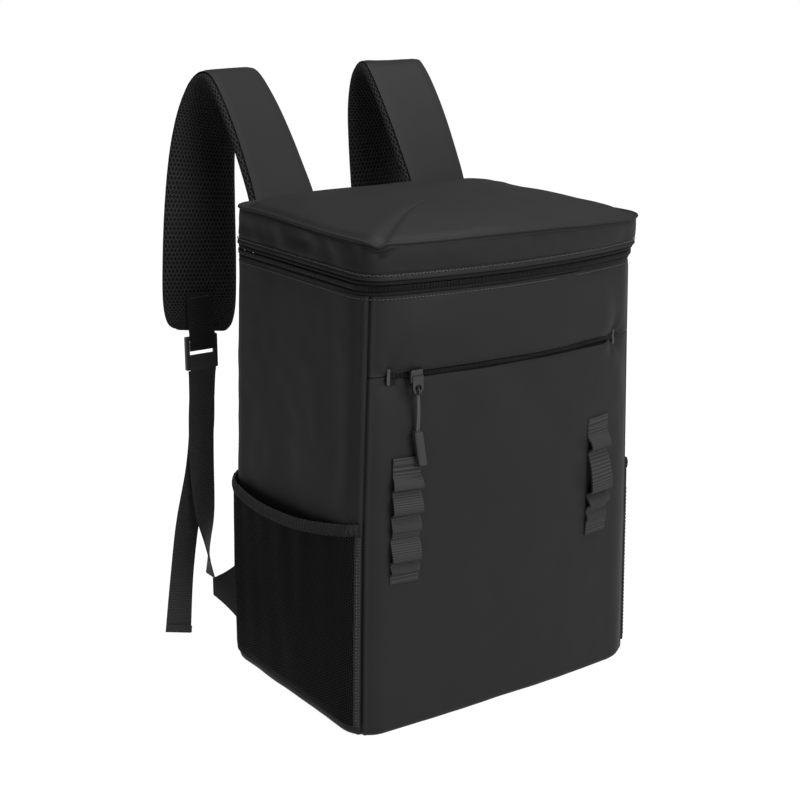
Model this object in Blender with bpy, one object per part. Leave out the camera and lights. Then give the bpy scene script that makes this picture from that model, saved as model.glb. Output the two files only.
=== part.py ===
"""Lunch backpack: a square insulated bag with a padded zipped lid, a flat front pocket with its own zip,
two webbing ladders, two mesh side pockets and two padded shoulder straps with buckles.
Metres, +Z up. The front faces -Y and the straps are on the +Y side. Origin: centre of the base."""
import math
from collections import namedtuple

import bmesh
import bpy
from mathutils import Vector

# Clearance between pieces that touch
GAP = 0.0003

# Body
BODY_WIDTH = 0.270
BODY_DEPTH = 0.203
BODY_HEIGHT = 0.349
BODY_WALL = 0.005
SOLE_THICKNESS = 0.005
FOOT_RADIUS = 0.007
LEFT_CORNER = 0.027
RIGHT_CORNER = 0.040
BACK_CORNER = 0.022
FRONT_BULGE = 0.012
# How far round a front corner its seam lies, as a share of the corner's turn
SEAM_TURN = 0.48

# Front pocket
PANEL_THICKNESS = 0.002
POCKET_ROOM = 0.007
ROOM_RISE = 0.025
ROOM_ABOVE_SLIT = 0.032
ROOM_FADE = 0.020
SLIT_HEIGHT = 0.2885
SLIT_GAPE = 0.0052
SLIT_MARGIN = 0.010
FRONT_PUFF = 0.0018
FRONT_TAPE_HEIGHT = 0.014
FRONT_CHAIN_HEIGHT = 0.0040
CHAIN_SINK = 0.0006
TAPE_THICKNESS = 0.0012

# Main zip and lid
ZIP_HEIGHT = 0.0120
CHAIN_HEIGHT = 0.0050
CHAIN_THICKNESS = 0.0024
CHAIN_INSET = 0.0004
LID_BAND_HEIGHT = 0.0275
LID_WALL = 0.0045
LID_CROWN = 0.0125
LID_PADDING = 0.006

# Front zip's slider, cord and grip
SLIDER_X = -0.098
SLIDER_WIDTH = 0.0095
SLIDER_HEIGHT = 0.0110
SLIDER_DEPTH = 0.0042
SLIDER_SEAT = 0.0009
PULL_WIDTH = 0.0095
PULL_HEIGHT = 0.0140
PULL_THICKNESS = 0.0018
PULL_EYE = 0.0060
PULL_ROOT = 0.0008
PULL_CORD_SLACK = 0.0011
PULL_CORD_DIAMETER = 0.0016
PULL_CORD_DROP = 0.0330
GRIP_LENGTH = 0.0265
GRIP_WIDTH = 0.0075
GRIP_THICKNESS = 0.0050

# Webbing ladders on the front
LADDER_WIDTH = 0.0240
LADDER_TOP = 0.2260
LADDER_LENGTH = 0.0995
LEFT_LADDER_EDGE = 0.0215
RIGHT_LADDER_EDGE = 0.0410
LADDER_LIFT = 0.0075
WEBBING_THICKNESS = 0.0014

# Mesh side pockets
SIDE_POCKET_HEIGHT = 0.160
SIDE_POCKET_BULGE = 0.0075
SIDE_POCKET_SAG = 0.012
SIDE_POCKET_FOOT = 0.010
SIDE_POCKET_MARGIN = 0.002
MESH_THICKNESS = 0.0012
BINDING_HEIGHT = 0.0095
BINDING_THICKNESS = 0.0024

# Shoulder straps
PAD_WIDTH = 0.064
PAD_THICKNESS = 0.010
STRAP_ROOT = 0.0785
LEFT_STRAP_SPREAD = 0.1175
RIGHT_STRAP_SPREAD = 0.0880
STRAP_REACH = 0.100
STRAP_TOP = 0.485
STUB_RISE = 0.004
STUB_DRIFT = 0.004
STRAP_WEBBING_WIDTH = 0.0250
BUCKLE_WIDTH = 0.0310
BUCKLE_HEIGHT = 0.0300
BUCKLE_THICKNESS = 0.0040
BUCKLE_BAR = 0.0032
BUCKLE_SLOT = 0.0055
TAIL_SPREAD = 0.1705
TAIL_END_HEIGHT = 0.008
ANCHOR_SPREAD = 0.1335
ANCHOR_HEIGHT = 0.066
ANCHOR_FOOT = 0.024
ANCHOR_THICKNESS = 0.0020

# The body's plan at several heights: shares of BODY_HEIGHT, half BODY_WIDTH, half BODY_DEPTH at the front,
# FRONT_BULGE and the front corners' radii
Level = namedtuple("Level", "height width front bulge corner")
LEVELS = (
    Level(height=0.00, width=1.080, front=0.980, bulge=0.25, corner=0.95),
    Level(height=0.22, width=1.068, front=0.985, bulge=0.55, corner=0.98),
    Level(height=0.45, width=1.055, front=0.990, bulge=0.80, corner=1.00),
    Level(height=0.72, width=1.028, front=0.995, bulge=0.92, corner=1.00),
    Level(height=1.00, width=1.000, front=1.000, bulge=1.00, corner=1.00),
    Level(height=1.035, width=1.000, front=1.020, bulge=1.15, corner=0.85),
    Level(height=1.115, width=0.985, front=1.030, bulge=1.25, corner=0.70),
)

# Dents of the lid's band: where along the half outline, in units of its three stretches, how far up the
# band, how wide, and how deep as a share of LID_WALL
BandDent = namedtuple("BandDent", "side along height width depth")
BAND_DENTS = (
    BandDent(side=-1, along=1.32, height=0.45, width=0.10, depth=0.45),
    BandDent(side=-1, along=1.58, height=0.60, width=0.09, depth=0.40),
    BandDent(side=-1, along=1.80, height=0.35, width=0.07, depth=0.30),
    BandDent(side=-1, along=2.10, height=0.80, width=0.06, depth=0.40),
    BandDent(side=1, along=2.55, height=0.55, width=0.16, depth=0.25),
    BandDent(side=1, along=1.60, height=0.50, width=0.12, depth=0.35),
)

# The lid's padded top, ring by ring: share of the outline's size and share of LID_CROWN
Dome = namedtuple("Dome", "size rise")
DOME_TOP = (
    Dome(size=1.000, rise=0.00),
    Dome(size=0.998, rise=0.16),
    Dome(size=0.985, rise=0.40),
    Dome(size=0.950, rise=0.62),
    Dome(size=0.860, rise=0.83),
    Dome(size=0.650, rise=0.96),
    Dome(size=0.300, rise=1.00),
)
DOME_UNDERSIDE = (
    Dome(size=0.300, rise=1.00),
    Dome(size=0.650, rise=0.93),
    Dome(size=0.860, rise=0.68),
    Dome(size=0.940, rise=0.48),
)

# Loops of the webbing ladders, from the top down, as shares of LADDER_LENGTH and LADDER_LIFT
Loop = namedtuple("Loop", "top lip crease lift")
LEFT_LOOPS = (
    Loop(top=0.13, lip=0.240, crease=0.270, lift=0.90),
    Loop(top=0.27, lip=0.430, crease=0.470, lift=1.00),
    Loop(top=0.47, lip=0.580, crease=0.650, lift=0.60),
    Loop(top=0.65, lip=0.815, crease=0.845, lift=0.85),
    Loop(top=0.845, lip=0.915, crease=0.945, lift=0.50),
)
RIGHT_LOOPS = (
    Loop(top=0.14, lip=0.260, crease=0.290, lift=0.85),
    Loop(top=0.29, lip=0.620, crease=0.655, lift=1.15),
    Loop(top=0.655, lip=0.745, crease=0.785, lift=0.80),
    Loop(top=0.80, lip=0.880, crease=0.950, lift=0.30),
)

# The side pocket's wall: share of its height and share of SIDE_POCKET_BULGE
Swell = namedtuple("Swell", "height bulge")
POCKET_SWELL = (
    Swell(height=0.00, bulge=0.00),
    Swell(height=0.05, bulge=0.45),
    Swell(height=0.25, bulge=0.70),
    Swell(height=0.60, bulge=0.85),
    Swell(height=1.00, bulge=1.00),
)

# A shoulder pad's line: shares of the way from the pad's root out to its buckle, of STRAP_REACH, STRAP_TOP
# and PAD_WIDTH, and the turn of the pad's width away from X, in degrees, that brings its outer edge forward
PadRow = namedtuple("PadRow", "spread reach height width turn")
PAD_ROWS = (
    PadRow(spread=0.00, reach=0.060, height=0.725, width=0.97, turn=0),
    PadRow(spread=0.00, reach=0.070, height=0.790, width=0.97, turn=0),
    PadRow(spread=0.03, reach=0.250, height=0.860, width=0.96, turn=5),
    PadRow(spread=0.08, reach=0.470, height=0.930, width=0.95, turn=9),
    PadRow(spread=0.15, reach=0.690, height=0.985, width=0.93, turn=12),
    PadRow(spread=0.21, reach=0.820, height=1.000, width=0.93, turn=13),
    PadRow(spread=0.29, reach=0.940, height=0.982, width=0.95, turn=12),
    PadRow(spread=0.44, reach=1.010, height=0.930, width=1.00, turn=9),
    PadRow(spread=0.60, reach=1.020, height=0.860, width=1.04, turn=6),
    PadRow(spread=0.74, reach=0.990, height=0.770, width=1.09, turn=3),
    PadRow(spread=0.85, reach=0.950, height=0.680, width=1.12, turn=1),
    PadRow(spread=0.95, reach=0.905, height=0.600, width=1.10, turn=0),
    PadRow(spread=0.98, reach=0.875, height=0.563, width=0.96, turn=0),
    PadRow(spread=1.00, reach=0.865, height=0.550, width=0.70, turn=0),
)

# Webbing from the buckle: shares of the way out to the anchor or to TAIL_SPREAD, of STRAP_REACH and of the
# height between the two ends, and the turn of the webbing's width away from X, in degrees
WebRow = namedtuple("WebRow", "out reach height turn")
WEB_ROWS = (
    WebRow(out=0.00, reach=0.792, height=1.00, turn=0),
    WebRow(out=0.00, reach=0.792, height=0.95, turn=0),
    WebRow(out=0.30, reach=0.775, height=0.75, turn=0),
    WebRow(out=0.59, reach=0.725, height=0.55, turn=5),
    WebRow(out=0.81, reach=0.650, height=0.32, turn=20),
    WebRow(out=0.93, reach=0.590, height=0.17, turn=50),
    WebRow(out=1.00, reach=0.545, height=0.00, turn=80),
)
TAIL_ROWS = (
    WebRow(out=0.00, reach=0.812, height=1.00, turn=0),
    WebRow(out=0.00, reach=0.812, height=0.95, turn=0),
    WebRow(out=0.03, reach=0.812, height=0.77, turn=0),
    WebRow(out=0.16, reach=0.800, height=0.60, turn=5),
    WebRow(out=0.46, reach=0.740, height=0.40, turn=9),
    WebRow(out=0.74, reach=0.625, height=0.20, turn=11),
    WebRow(out=1.00, reach=0.485, height=0.00, turn=2),
)

# Stations along a side panel and along half the front
SIDE_STATIONS = 22
FRONT_STATIONS = 12

BACK_Y = BODY_DEPTH / 2
LID_BOTTOM = BODY_HEIGHT + ZIP_HEIGHT
LID_SEAM = LID_BOTTOM + LID_BAND_HEIGHT
BUCKLE_TOP = STRAP_TOP * PAD_ROWS[-1].height - 0.002


# Materials: colour, roughness and metallic value of each kind
def material(name, colour, roughness, metallic=0.0):
    made = bpy.data.materials.get(name)
    if made is None:
        made = bpy.data.materials.new(name)
        made.use_nodes = True
        shader = made.node_tree.nodes["Principled BSDF"]
        shader.inputs["Base Color"].default_value = (*colour, 1.0)
        shader.inputs["Roughness"].default_value = roughness
        shader.inputs["Metallic"].default_value = metallic
    return made


def coated_cloth():
    return material("coated_cloth", (0.022, 0.022, 0.023), 0.55)


def webbing_cloth():
    return material("webbing_cloth", (0.018, 0.018, 0.019), 0.80)


def mesh_cloth():
    return material("mesh_cloth", (0.010, 0.010, 0.011), 0.85)


def zip_cloth():
    return material("zip_cloth", (0.012, 0.012, 0.012), 0.75)


def hard_plastic():
    return material("hard_plastic", (0.015, 0.015, 0.016), 0.40)


def dark_metal():
    return material("dark_metal", (0.050, 0.050, 0.052), 0.35, 0.9)


# Meshes
def add_object(name, bm, cloth, smooth_angle=35):
    """Closes the bmesh into an object whose faces point out."""
    bmesh.ops.remove_doubles(bm, verts=bm.verts, dist=1e-6)
    bmesh.ops.dissolve_degenerate(bm, dist=1e-6, edges=bm.edges)
    bmesh.ops.recalc_face_normals(bm, faces=bm.faces)
    mesh = bpy.data.meshes.new(name)
    bm.to_mesh(mesh)
    bm.free()
    mesh.materials.append(cloth)
    mesh.shade_smooth()
    mesh.set_sharp_from_angle(angle=math.radians(smooth_angle))
    made = bpy.data.objects.new(name, mesh)
    bpy.context.scene.collection.objects.link(made)
    return made


def loft(name, rings, cloth, closed=False, smooth_angle=35):
    """Joins rings of points, in order, into one solid. closed joins the last ring to the first. Each end
    is closed with strips from one half of its ring to the other, so neighbouring pieces' ends match."""
    bm = bmesh.new()
    loops = [[bm.verts.new(point) for point in ring] for ring in rings]
    pairs = list(zip(loops, loops[1:]))
    if closed:
        pairs.append((loops[-1], loops[0]))
    else:
        for end in (loops[0], loops[-1]):
            for i in range(len(end) // 2 - 1):
                bm.faces.new((end[i], end[i + 1], end[-i - 2], end[-i - 1]))
    for first, second in pairs:
        for i, vert in enumerate(first):
            bm.faces.new((first[i - 1], vert, second[i], second[i - 1]))
    return add_object(name, bm, cloth, smooth_angle)


def ring_edges(bm, loop):
    """The edges round a ring, made where they are missing."""
    found = []
    for start, end in zip(loop, loop[1:] + loop[:1]):
        edge = bm.edges.get((start, end))
        found.append(edge if edge else bm.edges.new((start, end)))
    return found


def spread(first, last, count):
    return [first + (last - first) * i / (count - 1) for i in range(count)]


def smooth_step(value):
    t = min(max(value, 0.0), 1.0)
    return t * t * (3 - 2 * t)


def between(rows, key, value):
    """Blends the table's rows at a value of the column named key."""
    names = rows[0]._fields
    rows = sorted(rows, key=lambda row: getattr(row, key))
    for low, high in zip(rows, rows[1:]):
        if value <= getattr(high, key) or high is rows[-1]:
            span = getattr(high, key) - getattr(low, key)
            t = (value - getattr(low, key)) / span
            break
    return rows[0].__class__(*[getattr(low, n) + t * (getattr(high, n) - getattr(low, n)) for n in names])


# The body's outline in plan
def half_outline(z, side):
    """Points (x, y) of one half, from the middle of the back to the middle of the front, x positive, and
    the lengths along them at the back seam and at the front seam."""
    level = between(LEVELS, "height", z / BODY_HEIGHT)
    half_width = BODY_WIDTH / 2 * level.width
    front = -BODY_DEPTH / 2 * level.front
    bulge = FRONT_BULGE * level.bulge
    corner = (LEFT_CORNER if side < 0 else RIGHT_CORNER) * level.corner
    points = [Vector((0, BACK_Y)), Vector((half_width - BACK_CORNER, BACK_Y))]
    back_seam = half_width - BACK_CORNER
    for i in range(1, 8):
        angle = math.pi / 2 * i / 7
        x = half_width - BACK_CORNER + BACK_CORNER * math.sin(angle)
        points.append(Vector((x, BACK_Y - BACK_CORNER + BACK_CORNER * math.cos(angle))))
    reach = half_width - corner
    for _ in range(4):
        turn = math.pi / 2 - math.atan(2 * bulge / reach)
        reach = half_width - corner + corner * math.cos(turn)
    middle = Vector((half_width - corner, front + corner * math.sin(turn)))
    steps = 10
    seam_step = round(steps * SEAM_TURN)
    for i in range(steps + 1):
        angle = turn * i / steps
        points.append(middle + corner * Vector((math.cos(angle), -math.sin(angle))))
        if i == seam_step:
            front_seam = sum((b - a).length for a, b in zip(points, points[1:]))
    for i in range(1, 13):
        x = reach * (1 - i / 12)
        points.append(Vector((x, front - bulge * (1 - (x / reach) ** 2))))
    return points, back_seam, front_seam


OUTLINES = {}


def outline(z, side):
    """The half outline at a height with its running lengths, worked out once."""
    key = (round(z, 6), side)
    if key not in OUTLINES:
        points, back_seam, front_seam = half_outline(z, side)
        lengths = [0.0]
        for a, b in zip(points, points[1:]):
            lengths.append(lengths[-1] + (b - a).length)
        OUTLINES[key] = (points, lengths, (0.0, back_seam, front_seam, lengths[-1]))
    return OUTLINES[key]


def at_length(points, lengths, s):
    s = min(max(s, 0.0), lengths[-1])
    for a, b, low, high in zip(points, points[1:], lengths, lengths[1:]):
        if s <= high and high > low:
            return a.lerp(b, (s - low) / (high - low))
    return points[-1].copy()


def place(side, along, z, inset=0.0):
    """The point at a height on the body's skin, moved inwards by inset. along runs from 0 in the middle of
    the back over 1 at the back seam and 2 at the front seam to 3 in the middle of the front."""
    points, lengths, marks = outline(z, side)
    stretch = min(int(along), 2)
    s = marks[stretch] + (along - stretch) * (marks[stretch + 1] - marks[stretch])
    step = 0.0015
    tangent = at_length(points, lengths, s + step) - at_length(points, lengths, s - step)
    tangent.normalize()
    inward = Vector((tangent.y, -tangent.x))
    point = at_length(points, lengths, s) + inward * inset
    return Vector((side * point.x, point.y, z))


def stretch_length(side, stretch):
    marks = outline(BODY_HEIGHT / 2, side)[2]
    return marks[stretch + 1] - marks[stretch]


def share(side, stretch, length):
    """A length along the outline as a share of one of its stretches."""
    return length / stretch_length(side, stretch)


def run(side, first, last, count):
    """Stations (side, along) on one half."""
    return [(side, along) for along in spread(first, last, count)]


def along_side(side, margin):
    """Stations on one side panel between its two seams. Pieces that lie on it use the same ones."""
    inner = spread(1.0, 2.0, SIDE_STATIONS)[1:-1]
    return [1 + share(side, 1, margin)] + inner + [2 - share(side, 1, margin)]


def across_front(margin, count):
    """Stations from the left front seam to the right one, the margin kept from both, closer together
    where the front curves round to its seams."""
    halves = []
    for side in (-1, 1):
        first = share(side, 2, margin)
        halves.append([(side, 2 + first + (1 - first) * t ** 1.6) for t in spread(0, 1, count)])
    return halves[0] + halves[1][-2::-1]


def around_zip(margin, count):
    """Stations from the left back seam round the front to the right back seam."""
    left = run(-1, 1 + share(-1, 1, margin), 2.0, count) + run(-1, 2.0, 3.0, count // 2)[1:]
    right = run(1, 3.0, 2.0, count // 2)[1:] + run(1, 2.0, 1 + share(1, 1, margin), count)[1:]
    return left + right


def all_round(count):
    """Stations round the whole outline, none of them twice."""
    left = run(-1, 0.0, 1.0, 4) + run(-1, 1.0, 2.0, count)[1:] + run(-1, 2.0, 3.0, count // 2)[1:]
    return left + [(1, along) for _, along in reversed(left)][1:-1]


# Walls that follow the body's skin
def wall_heights(low, high, extra):
    """Heights from high down to low, with each level of the plan and each extra height between them.
    Neighbouring pieces share them, so their seams stay parallel."""
    levels = [row.height * BODY_HEIGHT for row in LEVELS] + list(extra)
    return sorted([low, high] + [z for z in levels if low < z < high], reverse=True)


def wall_ring(side, along, outer, inner, top, extra=()):
    """The section of a wall that curves in under the body. outer and inner are insets at a height."""
    heights = wall_heights(FOOT_RADIUS, top, extra)
    ring = [place(side, along, z, outer(z)) for z in heights]
    out_inset = outer(FOOT_RADIUS)
    in_inset = inner(FOOT_RADIUS)
    for angle in (30, 60, 90):
        radius = FOOT_RADIUS - out_inset
        inset = FOOT_RADIUS - radius * math.cos(math.radians(angle))
        z = FOOT_RADIUS - radius * math.sin(math.radians(angle))
        ring.append(place(side, along, z, inset))
    for angle in (90, 60, 30):
        radius = FOOT_RADIUS - in_inset
        inset = FOOT_RADIUS - radius * math.cos(math.radians(angle))
        z = FOOT_RADIUS - radius * math.sin(math.radians(angle))
        ring.append(place(side, along, z, inset))
    ring += [place(side, along, z, inner(z)) for z in reversed(heights)]
    return ring


def band_ring(side, along, low, high, outer, inner):
    """A rectangular section between two heights and two insets."""
    return [
        place(side, along, high, outer),
        place(side, along, low, outer),
        place(side, along, low, inner),
        place(side, along, high, inner),
    ]


def side_panel(name, side):
    rings = [
        wall_ring(side, along, lambda z: 0.0, lambda z: BODY_WALL, BODY_HEIGHT)
        for along in along_side(side, GAP / 2)
    ]
    return loft(name, rings, coated_cloth())


def back_panel():
    left = run(-1, 1 - share(-1, 0, GAP / 2), 0.0, 3)
    right = run(1, 0.0, 1 - share(1, 0, GAP / 2), 3)[1:]
    rings = [
        wall_ring(side, along, lambda z: 0.0, lambda z: BODY_WALL, BODY_HEIGHT)
        for side, along in left + right
    ]
    return loft("back_panel", rings, coated_cloth())


def base_panel():
    stations = all_round(20)
    inset = FOOT_RADIUS + GAP
    rings = [
        [place(side, along, 0.0, inset) + Vector((0, 0, z)) for side, along in stations]
        for z in (0.0, SOLE_THICKNESS)
    ]
    return loft("base_panel", rings, coated_cloth())


def seam_distance(side, along):
    """Length from the front seam to a station on the front."""
    return (along - 2) * stretch_length(side, 2)


def pocket_room(side, along, z):
    """How deep the front pocket is behind a place on the front: nothing at its seams."""
    across = smooth_step((seam_distance(side, along) - 0.004) / 0.020)
    up = smooth_step((z - FOOT_RADIUS) / ROOM_RISE)
    over = smooth_step((SLIT_HEIGHT + ROOM_ABOVE_SLIT - z) / ROOM_FADE)
    return POCKET_ROOM * across * up * over


def front_wall():
    skin = PANEL_THICKNESS + GAP
    rim = SLIT_HEIGHT + ROOM_ABOVE_SLIT
    bends = (FOOT_RADIUS + ROOM_RISE * 0.4, FOOT_RADIUS + ROOM_RISE, rim - ROOM_FADE, rim - ROOM_FADE / 2, rim)
    rings = []
    for side, along in across_front(GAP / 2, FRONT_STATIONS):
        rings.append(
            wall_ring(
                side,
                along,
                lambda z: skin + pocket_room(side, along, z),
                lambda z: skin + pocket_room(side, along, z) + BODY_WALL,
                BODY_HEIGHT,
                extra=bends,
            )
        )
    return loft("front_wall", rings, coated_cloth())


def slit_half(side, along):
    """Half the height of the slit's mouth: it closes at its two bar tacks."""
    opened = smooth_step((seam_distance(side, along) - SLIT_MARGIN) / 0.012)
    return GAP / 2 + (SLIT_GAPE - GAP) / 2 * opened


def front_pocket_panel():
    rings = []
    for side, along in across_front(GAP / 2, FRONT_STATIONS):
        top = SLIT_HEIGHT - slit_half(side, along)
        rings.append(wall_ring(side, along, lambda z: 0.0, lambda z: PANEL_THICKNESS, top))
    return loft("front_pocket_panel", rings, coated_cloth())


def front_upper_panel():
    rings = []
    for side, along in across_front(GAP / 2, FRONT_STATIONS):
        low = SLIT_HEIGHT + slit_half(side, along)
        puffed = FRONT_PUFF * smooth_step((seam_distance(side, along) - SLIT_MARGIN) / 0.015)
        heights = spread(BODY_HEIGHT, low, 6)
        puffs = [puffed * math.sin(math.pi * min(1.0, i / 5 + 0.12)) for i in range(6)]
        outside = [place(side, along, z, -puff) for z, puff in zip(heights, puffs)]
        inside = [place(side, along, z, PANEL_THICKNESS - puff) for z, puff in zip(heights, puffs)]
        rings.append(outside + inside[::-1])
    return loft("front_upper_panel", rings, coated_cloth())


def band(name, stations, low, high, outer, inner, cloth):
    rings = [band_ring(side, along, low, high, outer, inner) for side, along in stations]
    return loft(name, rings, cloth)


def front_zip():
    """The tape and its coil behind the pocket's slit."""
    tape_outer = PANEL_THICKNESS + GAP
    low = SLIT_HEIGHT - FRONT_TAPE_HEIGHT / 2
    high = SLIT_HEIGHT + FRONT_TAPE_HEIGHT / 2
    stations = across_front(SLIT_MARGIN + 0.014, 12)
    band("front_zip_tape", stations, low, high, tape_outer, tape_outer + TAPE_THICKNESS, zip_cloth())
    low = SLIT_HEIGHT - FRONT_CHAIN_HEIGHT / 2
    high = SLIT_HEIGHT + FRONT_CHAIN_HEIGHT / 2
    band("front_zip_chain", stations, low, high, CHAIN_SINK, tape_outer - GAP, zip_cloth())


def main_zip():
    """Lower tape, coil and upper tape round three sides, and the cloth hinge along the back."""
    tape = (ZIP_HEIGHT - CHAIN_HEIGHT) / 2
    outer = CHAIN_INSET + 0.0008
    stations = around_zip(GAP / 2, 24)
    low = BODY_HEIGHT + GAP
    chain_low = BODY_HEIGHT + tape
    chain_high = chain_low + CHAIN_HEIGHT
    band("zip_tape_lower", stations, low, chain_low - GAP, outer, outer + TAPE_THICKNESS, zip_cloth())
    band("zip_chain", stations, chain_low, chain_high, CHAIN_INSET, CHAIN_INSET + CHAIN_THICKNESS, zip_cloth())
    high = LID_BOTTOM - GAP
    band("zip_tape_upper", stations, chain_high + GAP, high, outer, outer + TAPE_THICKNESS, zip_cloth())
    back = run(-1, 1 - share(-1, 0, GAP / 2), 0.0, 3) + run(1, 0.0, 1 - share(1, 0, GAP / 2), 3)[1:]
    band("lid_hinge", back, low, high, outer, outer + PANEL_THICKNESS, coated_cloth())
    slider = run(1, 1.20, 1.20 + share(1, 1, 0.012), 2)
    slider_low = chain_low - 0.0015
    slider_high = chain_high + 0.0015
    front = CHAIN_INSET - GAP
    band("main_zip_slider", slider, slider_low, slider_high, front - 0.003, front, dark_metal())


def lid_band():
    """The lid's upright band with its soft dents."""
    low = LID_BOTTOM
    high = LID_SEAM - GAP
    rings = []
    for side, along in all_round(24):
        ring = []
        for z in spread(high, low, 5):
            ring.append(place(side, along, z, band_dent(side, along, (z - low) / (high - low))))
        ring.append(place(side, along, low, LID_WALL))
        ring.append(place(side, along, (low + high) / 2, LID_WALL + band_dent(side, along, 0.5)))
        ring.append(place(side, along, high, LID_WALL))
        rings.append(ring)
    return loft("lid_band", rings, coated_cloth(), closed=True)


def band_dent(side, along, height):
    depth = 0.0
    edges = math.sin(math.pi * height)
    for dent in BAND_DENTS:
        if dent.side == side:
            away = ((along - dent.along) / dent.width) ** 2 + ((height - dent.height) / 0.5) ** 2
            depth += dent.depth * LID_WALL * math.exp(-away) * edges
    return depth


def lid_top():
    """The padded top: domed above, hollowed a little below."""
    stations = all_round(24)

    def ring(size, z):
        edge = [place(side, along, LID_SEAM) for side, along in stations]
        centre_y = sum(point.y for point in edge) / len(edge)
        return [Vector((p.x * size, centre_y + (p.y - centre_y) * size, z)) for p in edge]

    rings = []
    for row in DOME_UNDERSIDE:
        rings.append(ring(row.size, LID_SEAM + max(0.0, LID_CROWN * row.rise - LID_PADDING)))
    for row in DOME_TOP:
        rings.append(ring(row.size, LID_SEAM + LID_CROWN * row.rise))
    return loft("lid_top", rings, coated_cloth(), smooth_angle=50)


# Webbing ladders
def ladder(name, side, loops):
    """Webbing sewn down at its creases and standing off in loops between them, lips hanging low."""
    edge = LEFT_LADDER_EDGE if side < 0 else RIGHT_LADDER_EDGE
    start = 2 + share(side, 2, edge)
    end = 2 + share(side, 2, edge + LADDER_WIDTH)
    rest = GAP + WEBBING_THICKNESS / 2
    path = [(0.0, rest)]
    for loop in loops:
        lift = rest + LADDER_LIFT * loop.lift
        length = loop.lip - loop.top
        path.append((loop.top, rest))
        path.append((loop.top + 0.35 * length, rest + 0.62 * (lift - rest)))
        path.append((loop.top + 0.75 * length, lift))
        path.append((loop.lip, lift * 0.97))
        path.append((loop.crease - 0.012, rest + 0.25 * (lift - rest)))
    path.append((loops[-1].crease, rest))
    path.append((1.0, rest))
    line = [Vector((share_down * LADDER_LENGTH, lift)) for share_down, lift in path]
    sides = offset_line(line, WEBBING_THICKNESS / 2)
    rings = []
    for along in spread(start, end, 4):
        rings.append([place(side, along, LADDER_TOP - p.x, -p.y) for p in sides])
    return loft(name, rings, webbing_cloth(), smooth_angle=60)


def offset_line(line, half):
    """The closed outline of a strip of even thickness round a line in a plane."""
    over = []
    under = []
    for i, point in enumerate(line):
        tangent = (line[min(i + 1, len(line) - 1)] - line[max(i - 1, 0)]).normalized()
        normal = Vector((-tangent.y, tangent.x))
        over.append(point + normal * half)
        under.append(point - normal * half)
    return over + under[::-1]


# Side pockets
def pocket_standoff(side, along, height):
    """How far the mesh stands off the side panel at a share of the pocket's height."""
    length = stretch_length(side, 1)
    from_back = smooth_step((along - 1) * length / 0.085)
    from_front = smooth_step((2 - along) * length / 0.080)
    swell = between(POCKET_SWELL, "height", height).bulge
    return GAP + SIDE_POCKET_BULGE * swell * from_back * from_front


def pocket_rim(along):
    """Height of the mesh's upper edge: it sags between its two seams, more towards the back."""
    t = along - 1
    return SIDE_POCKET_HEIGHT + SIDE_POCKET_SAG * ((2 * t - 0.75) ** 2) / 1.1 - BINDING_HEIGHT


def side_pocket(name, side):
    rings = []
    edges = []
    for along in along_side(side, SIDE_POCKET_MARGIN):
        rim = pocket_rim(along)
        outside = []
        inside = []
        for height in (1.0, 0.75, 0.5, 0.25, 0.12, 0.05, 0.0):
            z = SIDE_POCKET_FOOT + (rim - SIDE_POCKET_FOOT) * height
            off = pocket_standoff(side, along, height)
            inside.append(place(side, along, z, -off))
            outside.append(place(side, along, z, -off - MESH_THICKNESS))
        rings.append(outside + inside[::-1])
        centre = pocket_standoff(side, along, 1.0) + MESH_THICKNESS / 2
        low = rim + GAP
        inner = min(-GAP, BINDING_THICKNESS / 2 - centre)
        outer = inner - BINDING_THICKNESS
        edges.append(band_ring(side, along, low, low + BINDING_HEIGHT, outer, inner))
    loft(name, rings, mesh_cloth())
    loft(name.replace("side_pocket", "side_pocket_binding"), edges, webbing_cloth())


# Shoulder straps
def smooth_path(points, steps):
    """A Catmull-Rom curve through rows of numbers."""
    rows = [points[0]] + list(points) + [points[-1]]
    made = []
    for a, b, c, d in zip(rows, rows[1:], rows[2:], rows[3:]):
        for step in range(steps):
            t = step / steps
            made.append(
                [
                    0.5 * (2 * q + (r - p) * t + (2 * p - 5 * q + 4 * r - s) * t * t
                           + (3 * q - p - 3 * r + s) * t ** 3)
                    for p, q, r, s in zip(a, b, c, d)
                ]
            )
    made.append(list(points[-1]))
    return made


def ribbon(name, line, cloth, thickness, edge=0.25):
    """A flat strip along a line of rows (x, y, z, width, turn). Its width lies along X, turned about the
    line, and its edges are chamfered by a share of the thickness."""
    rings = []
    for i, row in enumerate(line):
        point = Vector(row[:3])
        tangent = Vector(line[min(i + 1, len(line) - 1)][:3]) - Vector(line[max(i - 1, 0)][:3])
        tangent.normalize()
        turn = math.radians(row[4])
        wide = Vector((math.cos(turn), math.sin(turn), 0))
        wide = (wide - tangent * wide.dot(tangent)).normalized()
        thick = tangent.cross(wide)
        half_width = row[3] / 2
        half = thickness / 2
        cut = thickness * edge
        corners = (
            (half_width, half - cut),
            (half_width - cut, half),
            (cut - half_width, half),
            (-half_width, half - cut),
            (-half_width, cut - half),
            (cut - half_width, -half),
            (half_width - cut, -half),
            (half_width, cut - half),
        )
        rings.append([point + wide * across + thick * through for across, through in corners])
    return loft(name, rings, cloth, smooth_angle=50)


def strap_point(side, spread_share, reach_share, z):
    """A point of a shoulder strap, from its root outwards to where its buckle hangs."""
    spread_out = LEFT_STRAP_SPREAD if side < 0 else RIGHT_STRAP_SPREAD
    x = STRAP_ROOT + (spread_out - STRAP_ROOT) * spread_share
    return (side * x, BACK_Y + STRAP_REACH * reach_share, z)


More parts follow.
